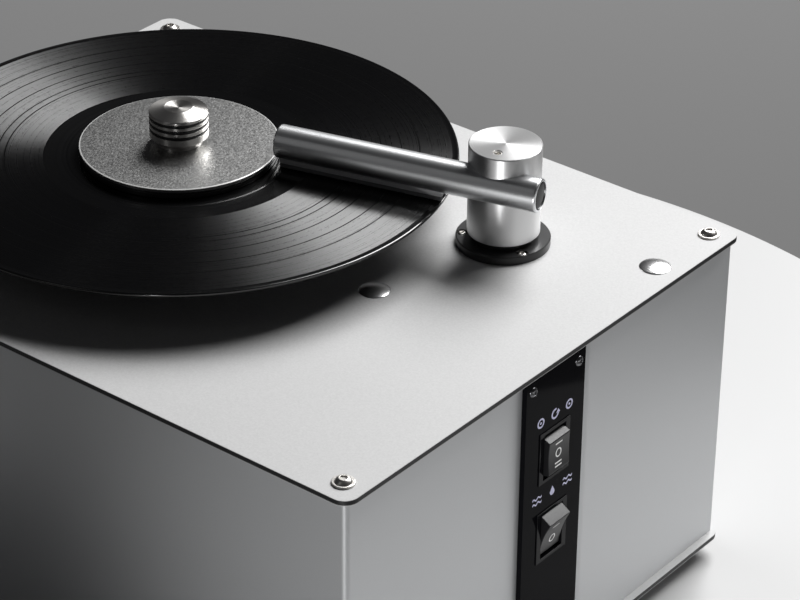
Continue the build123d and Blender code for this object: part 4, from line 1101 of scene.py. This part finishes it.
class CLEANER_OT_arm_tube(Step, Operator):
    """Make the suction tube with its slot, end caps, carriers and velvet pads"""
    bl_idname = "cleaner.arm_tube"
    bl_label = "Make the arm's tube and pads"

    bore = 7.7
    tail, reach = -25.5, 124.0
    edge = 1.2
    slot_from, slot_to, slot_half = 32, 118, 1
    cap_seat = 9.0
    pad_from, pad_to = 28.3, 121.5
    carrier_top, carrier_bottom, pad_bottom = -7.0, -10.5, -13.1
    carrier_across, pad_across = (1.3, 4.9), (1.35, 4.85)
    pad_slices = 150

    def execute(self, context):
        settings = context.scene.cleaner_arm
        self.tube(settings)
        self.caps(context.scene.cleaner_switches)
        self.carriers()
        self.pads(settings)
        return {"FINISHED"}

    def tube(self, settings):
        """Polished tube with rounded ends and a slot underneath."""
        bore, edge, tail, reach = self.bore, self.edge, self.tail, self.reach
        fore = arc(TUBE_RADIUS - edge, reach - edge, edge, 0, 90, 6)
        rear = arc(TUBE_RADIUS - edge, tail + edge, edge, -90, 0, 6)
        outline = [(bore, tail + 0.15), (bore + 0.12, tail), *rear, *fore,
                   (bore + 0.12, reach), (bore, reach - 0.15), (bore, tail + 0.15)]
        tube = settle(turned("arm_tube_metal", outline, 160), turn=ALONG_X)
        self.wrap_map(tube)
        slot = self.bar("slot", (self.slot_from, self.slot_to), (-self.slot_half, self.slot_half), (-12, -6))
        combine(tube, slot)
        arm_place(smooth(tube, 35))
        metal = material_from(
            "arm tube", line_marks(), settings.tube_colour, 0.335, 0.35 * MM, 0.10, 0.1,
            centre=ARM_FRAME, turn=(0, 0, ARM_ANGLE), bump=0.08, bump_depth=0.01 * MM)
        finished(tube, lathe_gloss(metallic(metal), 0.35, "round the tube"), "suction_arm", "arm_tube")

    def bar(self, name, along, across, upright):
        """Box between two places on each axis, in millimetres."""
        low, high = zip(along, across, upright)
        return boxed(name, Vector(low) * MM, Vector(high) * MM)

    def wrap_map(self, tube):
        """UV map that runs round the tube and along it."""
        layer = tube.data.uv_layers.new(name="round the tube")
        for face in tube.data.polygons:
            middle_angle = self.round_angle(face.center)
            for corner in face.loop_indices:
                point = tube.data.vertices[tube.data.loops[corner].vertex_index].co
                turn = (self.round_angle(point) - middle_angle + pi) % (2 * pi) - pi
                layer.data[corner].uv = ((middle_angle + turn) / (2 * pi), point.x * 10)

    def round_angle(self, point):
        """Angle of a point round the X axis."""
        return Vector((0, 1)).angle_signed(Vector((point.y, point.z)), 0.0) if point.yz.length else 0.0

    def caps(self, switches):
        """Glossy black caps in both ends."""
        bore = self.bore
        outline = [(0, 0), (bore, 0), (bore, 8.2), (bore - 0.5, 8.5), (bore - 1.4, 8.6), (bore * 0.5, 8.75),
                   (0, 8.8)]
        seats = ((pi / 2, self.reach - self.cap_seat), (-pi / 2, self.tail + self.cap_seat))
        ends = [settle(turned("cap", outline, 96), turn=(0, turn, 0), move=(place * MM, 0, 0))
                for turn, place in seats]
        caps = arm_place(smooth(joined("tube_end_caps", *ends), 40))
        plastic = moulded("tube cap", switches.panel_colour, 0.22, 900.0, 0.1, 0.1, 0.02)
        finished(caps, specular(plastic, 0.05), "suction_arm", "tube_plugs")

    def both_sides(self, inner, outer):
        """The same stretch on each side of the slot."""
        return (inner, outer), (-outer, -inner)

    def carriers(self):
        """Strips under the tube that hold the pads."""
        sides = []
        for across in self.both_sides(*self.carrier_across):
            strip = self.bar("strip", (self.pad_from, self.pad_to), across,
                             (self.carrier_bottom, self.carrier_top))
            tool = settle(rod("tube", TUBE_RADIUS, 0, 150, sides=96), turn=ALONG_X)
            sides.append(rounded(combine(strip, tool), 0.15 * MM))
        carriers = arm_place(joined("pad_carrier_strips", *sides))
        # pale grey as painted light: the strips are lightened to make up for the shade they sit in under the
        # tube
        plastic = moulded("pad carrier strips painted light", (0.48, 0.48, 0.49), 0.38)
        finished(carriers, plastic, "suction_arm", "pad_carriers")

    def pads(self, settings):
        """Two strips of velvet with an uneven pile and rounded edges."""
        sides = []
        for across in self.both_sides(*self.pad_across):
            pad = self.bar("pad", (self.pad_from + 0.1, self.pad_to - 0.1), across,
                           (self.pad_bottom, self.carrier_bottom))
            sides.append(self.piled(pad, settings.pile_depth))
        pads = arm_place(joined("velvet_strips", *sides))
        finished(pads, self.velvet(settings), "suction_arm", "velvet_pads")

    def piled(self, pad, depth):
        """Slice a strip finely along its length and roughen its pile."""
        edit(pad)
        for i in range(1, self.pad_slices):
            x = (self.pad_from + (self.pad_to - self.pad_from) * i / self.pad_slices) * MM
            bpy.ops.mesh.select_all(action="SELECT")
            bpy.ops.mesh.bisect(plane_co=(x, 0, 0), plane_no=(1, 0, 0))
        rounded(pad, 0.5 * MM, 3, 60)
        only(pad)
        pile = bpy.data.textures.new("pile", "CLOUDS")
        pile.noise_scale = 0.9 * MM
        ruffle = pad.modifiers.new("pile", "DISPLACE")
        ruffle.texture = pile
        ruffle.texture_coords = "LOCAL"
        ruffle.mid_level = 1.0
        ruffle.strength = depth
        apply_modifiers(pad)
        bpy.data.textures.remove(pile)
        bpy.ops.object.shade_smooth()
        return pad

    def velvet(self, settings):
        """Dark pile with a soft sheen."""
        made = moulded("velvet", settings.velvet_colour, 0.95, 2600.0, 0.9, 0.2, 1.0)
        shader = shader_of(made)
        shader.inputs["Sheen Weight"].default_value = 0.8
        shader.inputs["Sheen Roughness"].default_value = 0.45
        shader.inputs["Sheen Tint"].default_value = (0.75, 0.75, 0.78, 1.0)
        return made


# --- fasteners and plugs ----------------------------------------------------------------------------
class CLEANER_OT_fasteners(Step, Operator):
    """Make the corner screws with their washers and the bright hole plugs"""
    bl_idname = "cleaner.fasteners"
    bl_label = "Make the screws and plugs"

    def execute(self, context):
        settings = context.scene.cleaner_fasteners
        self.corner_screws(settings)
        self.plugs(settings)
        return {"FINISHED"}

    def corner_screws(self, settings):
        """Button-head screw on a washer in each corner."""
        radius, thickness = 5.9, 1.0
        places = corners_of("top_washers", radius * MM)
        screw = button_screw(
            "screw", head_radius=4.6, head_height=2.6, shank_radius=2.5, socket=1.75, shank=17.7)
        screws = repeated("corner_screws", screw, [(x, y, PLATE_TOP + thickness * MM) for x, y in places])
        steel = satin_metal("bright screws", settings.steel_colour, 0.30, 900.0, 0.06, 0.1, 0.0)
        finished(screws, steel, "housing", "top_screws")
        washer = turned("washer", [
            (2.55, 0), (radius, 0), (radius, 0.7), (5.6, thickness), (2.75, thickness), (2.55, 0.8),
            (2.55, 0)], 96)
        rounded(washer, 0.08 * MM)
        washers = repeated("corner_washers", washer, [(x, y, PLATE_TOP) for x, y in places])
        finished(washers, steel, "housing", "top_washers")

    def plugs(self, settings):
        """Polished domes in the two unused holes."""
        radius, rise, lip = 8.5, 1.7, 0.3
        outline = [(0, -0.4), (5.5, -0.4), (5.5, -7), (6.5, -7), (6.5, 0), (radius - 0.1, 0), (radius, 0.12),
                   *dome(radius - 0.15, 0, rise - lip, lip, 12)]
        plug = smooth(turned("plug", outline, 96), 50)
        lowest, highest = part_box("hole_plugs")
        plugs = repeated("hole_plug_caps", plug, [
            (lowest[0] + radius * MM, lowest[1] + radius * MM, PLATE_TOP),
            (highest[0] - radius * MM, highest[1] - radius * MM, PLATE_TOP)])
        chrome = satin_metal("hole plugs", settings.plug_colour, 0.26, 500.0, 0.04, 0.2, 0.02)
        finished(plugs, chrome, "housing", "hole_plugs")


# --- control panel and switches ---------------------------------------------------------------------
def switch_box(name, height, inner, outer, half_width, half_height):
    """Box round a switch's middle between two faces of the strip, its half sizes in millimetres."""
    return boxed(name, (inner, STRIP_Y - half_width * MM, (height - half_height) * MM),
                 (outer, STRIP_Y + half_width * MM, (height + half_height) * MM))


class CLEANER_OT_control_panel(Step, Operator):
    """Cut the gloss black control panel, set its screws and print its signs"""
    bl_idname = "cleaner.control_panel"
    bl_label = "Make the control panel"

    sign_heights = (173.0, 126.3)
    disc_side, wave_side = 12.0, 13.0
    screw_side = 19.2
    screw_heights = (195, 21)

    def execute(self, context):
        settings = context.scene.cleaner_switches
        lowest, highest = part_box("control_panel")
        strip = boxed("control_panel_plate", lowest, highest)
        for height in SWITCH_HEIGHTS.values():
            combine(strip, switch_box("window", height, lowest[0] - MM, highest[0] + MM, *WINDOW))
        rounded(strip, 0.35 * MM, 3)
        gloss = moulded("control panel", settings.panel_colour, 0.06, 700.0, 0.1, 0.15, 0.0)
        finished(strip, specular(gloss, 0.03), "housing", "control_panel")
        self.screws()
        self.signs(settings)
        return {"FINISHED"}

    def screws(self):
        """Button-head screw in each corner of the panel."""
        screws = repeated("panel_screws", settle(small_screw(6), turn=ALONG_X), [
            (STRIP_FACE, STRIP_Y + side * self.screw_side * MM, height * MM)
            for side in (-1, 1) for height in self.screw_heights])
        steel = satin_metal("panel screws", (0.22, 0.22, 0.23), 0.25, 900.0, 0.05, 0.1, 0.0)
        finished(screws, steel, "housing", "control_panel_screws")

    def signs(self, settings):
        """A record on each side of a turning arrow, and moving air on each side of a drop."""
        turning, moving = (height * MM for height in self.sign_heights)
        parts = [self.turn_arrow(turning), self.drop(moving)]
        for side in (-1, 1):
            parts += self.disc(side * self.disc_side, turning)
            parts += self.waves(side * self.wave_side, moving)
        ink = moulded("panel print", settings.print_colour, 0.5, 1500.0, 0.05, 0.05, 0.0)
        finished(joined("panel_signs", *parts), ink, "housing")

    def flat_shape(self, name, outline, side, height):
        """Thin printed shape; points are (towards the back, up) in millimetres about the sign's middle."""
        ink = bpy.context.scene.cleaner_switches.print_height
        shape = prism(name, outline, 0, ink / MM)
        return settle(shape, turn=(0, 0, pi / 2), move=(STRIP_FACE + ink, STRIP_Y + side * MM, height))

    def open_ring(self, outer, inner, start, end, count, side, height):
        """Flat ring between two radii, open from its end to its start."""
        outline = arc(0, 0, outer, start, end, count) + arc(0, 0, inner, end, start, count)
        return self.flat_shape("ring", outline, side, height)

    def turn_arrow(self, height):
        """Open ring that ends in an arrowhead."""
        ring = self.open_ring(3.1, 2.0, 70, 350, 32, 0, height)
        head = self.flat_shape("head", [(0.9, -0.3), (4.2, -0.3), (2.5, 2.0)], 0, height)
        return joined("turning", ring, head)

    def disc(self, side, height):
        """Ring round a dot."""
        return [self.open_ring(2.9, 1.9, 0, 359, 40, side, height),
                self.flat_shape("dot", arc(0, 0, 0.7, 0, 345, 23), side, height)]

    def drop(self, height):
        """Drop of liquid."""
        return self.flat_shape("drop", arc(0, -0.9, 1.9, -215, 35, 28) + [(0, 2.8)], 0, height)

    def waves(self, side, height):
        """Two waves of moving air."""
        rows = []
        for row in (-1.5, 1.5):
            upper = [(x / 10, row + 0.6 * sin(x / 10 * 1.6) + 0.5) for x in range(-39, 40, 3)]
            lower = [(x, z - 1.0) for x, z in upper]
            rows.append(self.flat_shape("wave", upper + lower[::-1], side, height))
        return rows


class CLEANER_OT_switches(Step, Operator):
    """Mould the two rocker switches with their printed marks"""
    bl_idname = "cleaner.switches"
    bl_label = "Make the switches"

    tilts = {"motor": 0.0, "vacuum": 17.5}
    corners = {"motor": (5.8, 9.7), "vacuum": (4.9, 11.2)}
    hollows = {"motor": 0.6, "vacuum": 1.15}
    width = 17.5
    clearance = 0.4
    bezel = (12.75, 15.5)
    body_depth, body_rise = 20, 0.3
    well_height, well_depth = 13.6, 9.2
    ink_rise, ink_root = 0.05, 0.3
    bar_heights = {"motor": (6.8, -5.0, -7.0), "vacuum": (6.2,)}
    bar_half, bar_from, bar_to = 0.42, -3.25, 2.25
    ring_places = {"motor": (0.7, -0.3), "vacuum": (-3.9, 0.7)}

    def execute(self, context):
        settings = context.scene.cleaner_switches
        plastic = moulded("switch plastic", settings.plastic_colour, 0.32, 1500.0, 0.2, 0.15, 0.12)
        gloss = moulded("switch bezel", settings.panel_colour, 0.12, 900.0, 0.1, 0.1, 0.0)
        ink = moulded("switch print", (0.95, 0.95, 0.94), 0.5, 1500.0, 0.05, 0.05, 0.0)
        specular(plastic, 0.42)
        specular(gloss, 0.15)
        for name, height in SWITCH_HEIGHTS.items():
            housing = self.housing(name, height, settings.bezel_edge)
            finished(housing, gloss, "housing", name + "_switch_housing")
            body = name + "_rocker"
            turn, move = (0, radians(self.tilts[name]), 0), (ROCKER_PIVOT, STRIP_Y, height * MM)
            finished(settle(self.rocker(name, settings.edge), turn, move), plastic, body, body)
            finished(settle(self.marks(name), turn, move), ink, body)
        return {"FINISHED"}

    def housing(self, name, height, edge):
        """Thin bezel and body with a well for the rocker."""
        body = switch_box(name + "_bezel", height, STRIP_FACE - self.body_depth * MM,
                          STRIP_FACE + self.body_rise * MM, *WINDOW)
        combine(body, switch_box("bezel", height, STRIP_FACE, BEZEL_FACE, *self.bezel), "UNION")
        combine(body, switch_box("well", height, ROCKER_PIVOT - self.well_depth * MM, BEZEL_FACE + MM,
                                 self.width / 2 + self.clearance, self.well_height))
        return rounded(body, edge, 3)

    def face_at(self, name, height):
        """Distance of the hollowed face from the pivot, at a height from its middle."""
        out, half = self.corners[name]
        return out - self.hollows[name] * (1 - (height / half) ** 2)

    def rocker(self, name, edge):
        """Rocker with a hollowed face and slanting ends, about its pivot."""
        half = self.corners[name][1]
        face = [(self.face_at(name, half * i / 8), half * i / 8) for i in range(8, -9, -1)]
        outline = face + [(-2.2, -12.9), (-4.0, -4.0), (-4.0, 4.0), (-2.2, 12.9)]
        rocker = prism(name + "_rocker_cap", outline, -self.width / 2, self.width / 2)
        return rounded(rocker, edge, 3, 25)

    def marks(self, name):
        """Bar, ring and double bar on the motor's rocker, bar and ring on the vacuum's."""
        parts = [self.bar(name, height) for height in self.bar_heights[name]]
        return joined(name + "_rocker_marks", *parts, self.ring(name, *self.ring_places[name]))

    def bar(self, name, height):
        """Thin printed bar across the rocker."""
        upper, lower = height + self.bar_half, height - self.bar_half
        outline = [(self.face_at(name, z) + rise, z) for z, rise in (
            (upper, self.ink_rise), (lower, self.ink_rise), (lower, -self.ink_root), (upper, -self.ink_root))]
        return prism("bar", outline, self.bar_from, self.bar_to)

    def ring(self, name, height, side):
        """Thin printed ring, laid on the rocker's face."""
        start_clean()
        bpy.ops.mesh.primitive_torus_add(
            major_radius=2.1 * MM, minor_radius=0.40 * MM, major_segments=48, minor_segments=8)
        ring = bpy.context.object
        ring.scale = (1.15, 1.0, 0.3)
        slope = (self.face_at(name, height + 1) - self.face_at(name, height - 1)) / 2
        place = (self.face_at(name, height) * MM, side * MM, height * MM)
        return smooth(settle(ring, turn=(0, pi / 2 + atan(slope), 0), move=place), 60)


# --- panel in the sidebar ---------------------------------------------------------------------------
class CLEANER_PT_sidebar(Panel):
    """Lists the steps that make the record cleaning machine"""
    bl_idname = "CLEANER_PT_sidebar"
    bl_label = "Record cleaner"
    bl_space_type = "VIEW_3D"
    bl_region_type = "UI"
    bl_category = "Record cleaner"

    def draw(self, context):
        column = self.layout.column(align=True)
        for operator in steps:
            column.operator(operator.bl_idname)
        for group_name in settings_groups:
            box = self.layout.box()
            group = getattr(context.scene, group_name)
            for field in group.bl_rna.properties:
                if not field.is_readonly and field.identifier != "name":
                    box.prop(group, field.identifier)


settings_groups = {
    "cleaner_stage": StageSettings,
    "cleaner_cabinet": CabinetSettings,
    "cleaner_record": RecordSettings,
    "cleaner_clamp": ClampSettings,
    "cleaner_arm": ArmSettings,
    "cleaner_switches": SwitchSettings,
    "cleaner_fasteners": FastenerSettings,
}
steps = (
    CLEANER_OT_stage, CLEANER_OT_cabinet, CLEANER_OT_drive, CLEANER_OT_feet, CLEANER_OT_record,
    CLEANER_OT_clamp, CLEANER_OT_arm_base, CLEANER_OT_arm_column, CLEANER_OT_arm_tube, CLEANER_OT_fasteners,
    CLEANER_OT_control_panel, CLEANER_OT_switches,
)


def register():
    """Register the settings, operators and panel."""
    for name, kind in settings_groups.items():
        bpy.utils.register_class(kind)
        setattr(bpy.types.Scene, name, PointerProperty(type=kind))
    for kind in steps:
        bpy.utils.register_class(kind)
    bpy.utils.register_class(CLEANER_PT_sidebar)


def unregister():
    """Undo register."""
    bpy.utils.unregister_class(CLEANER_PT_sidebar)
    for kind in reversed(steps):
        bpy.utils.unregister_class(kind)
    for name, kind in settings_groups.items():
        delattr(bpy.types.Scene, name)
        bpy.utils.unregister_class(kind)


def main():
    """Make every piece in order."""
    register()
    for kind in steps:
        group, name = kind.bl_idname.split(".")
        getattr(getattr(bpy.ops, group), name)()
    start_clean()


if __name__ == "__main__":
    main()
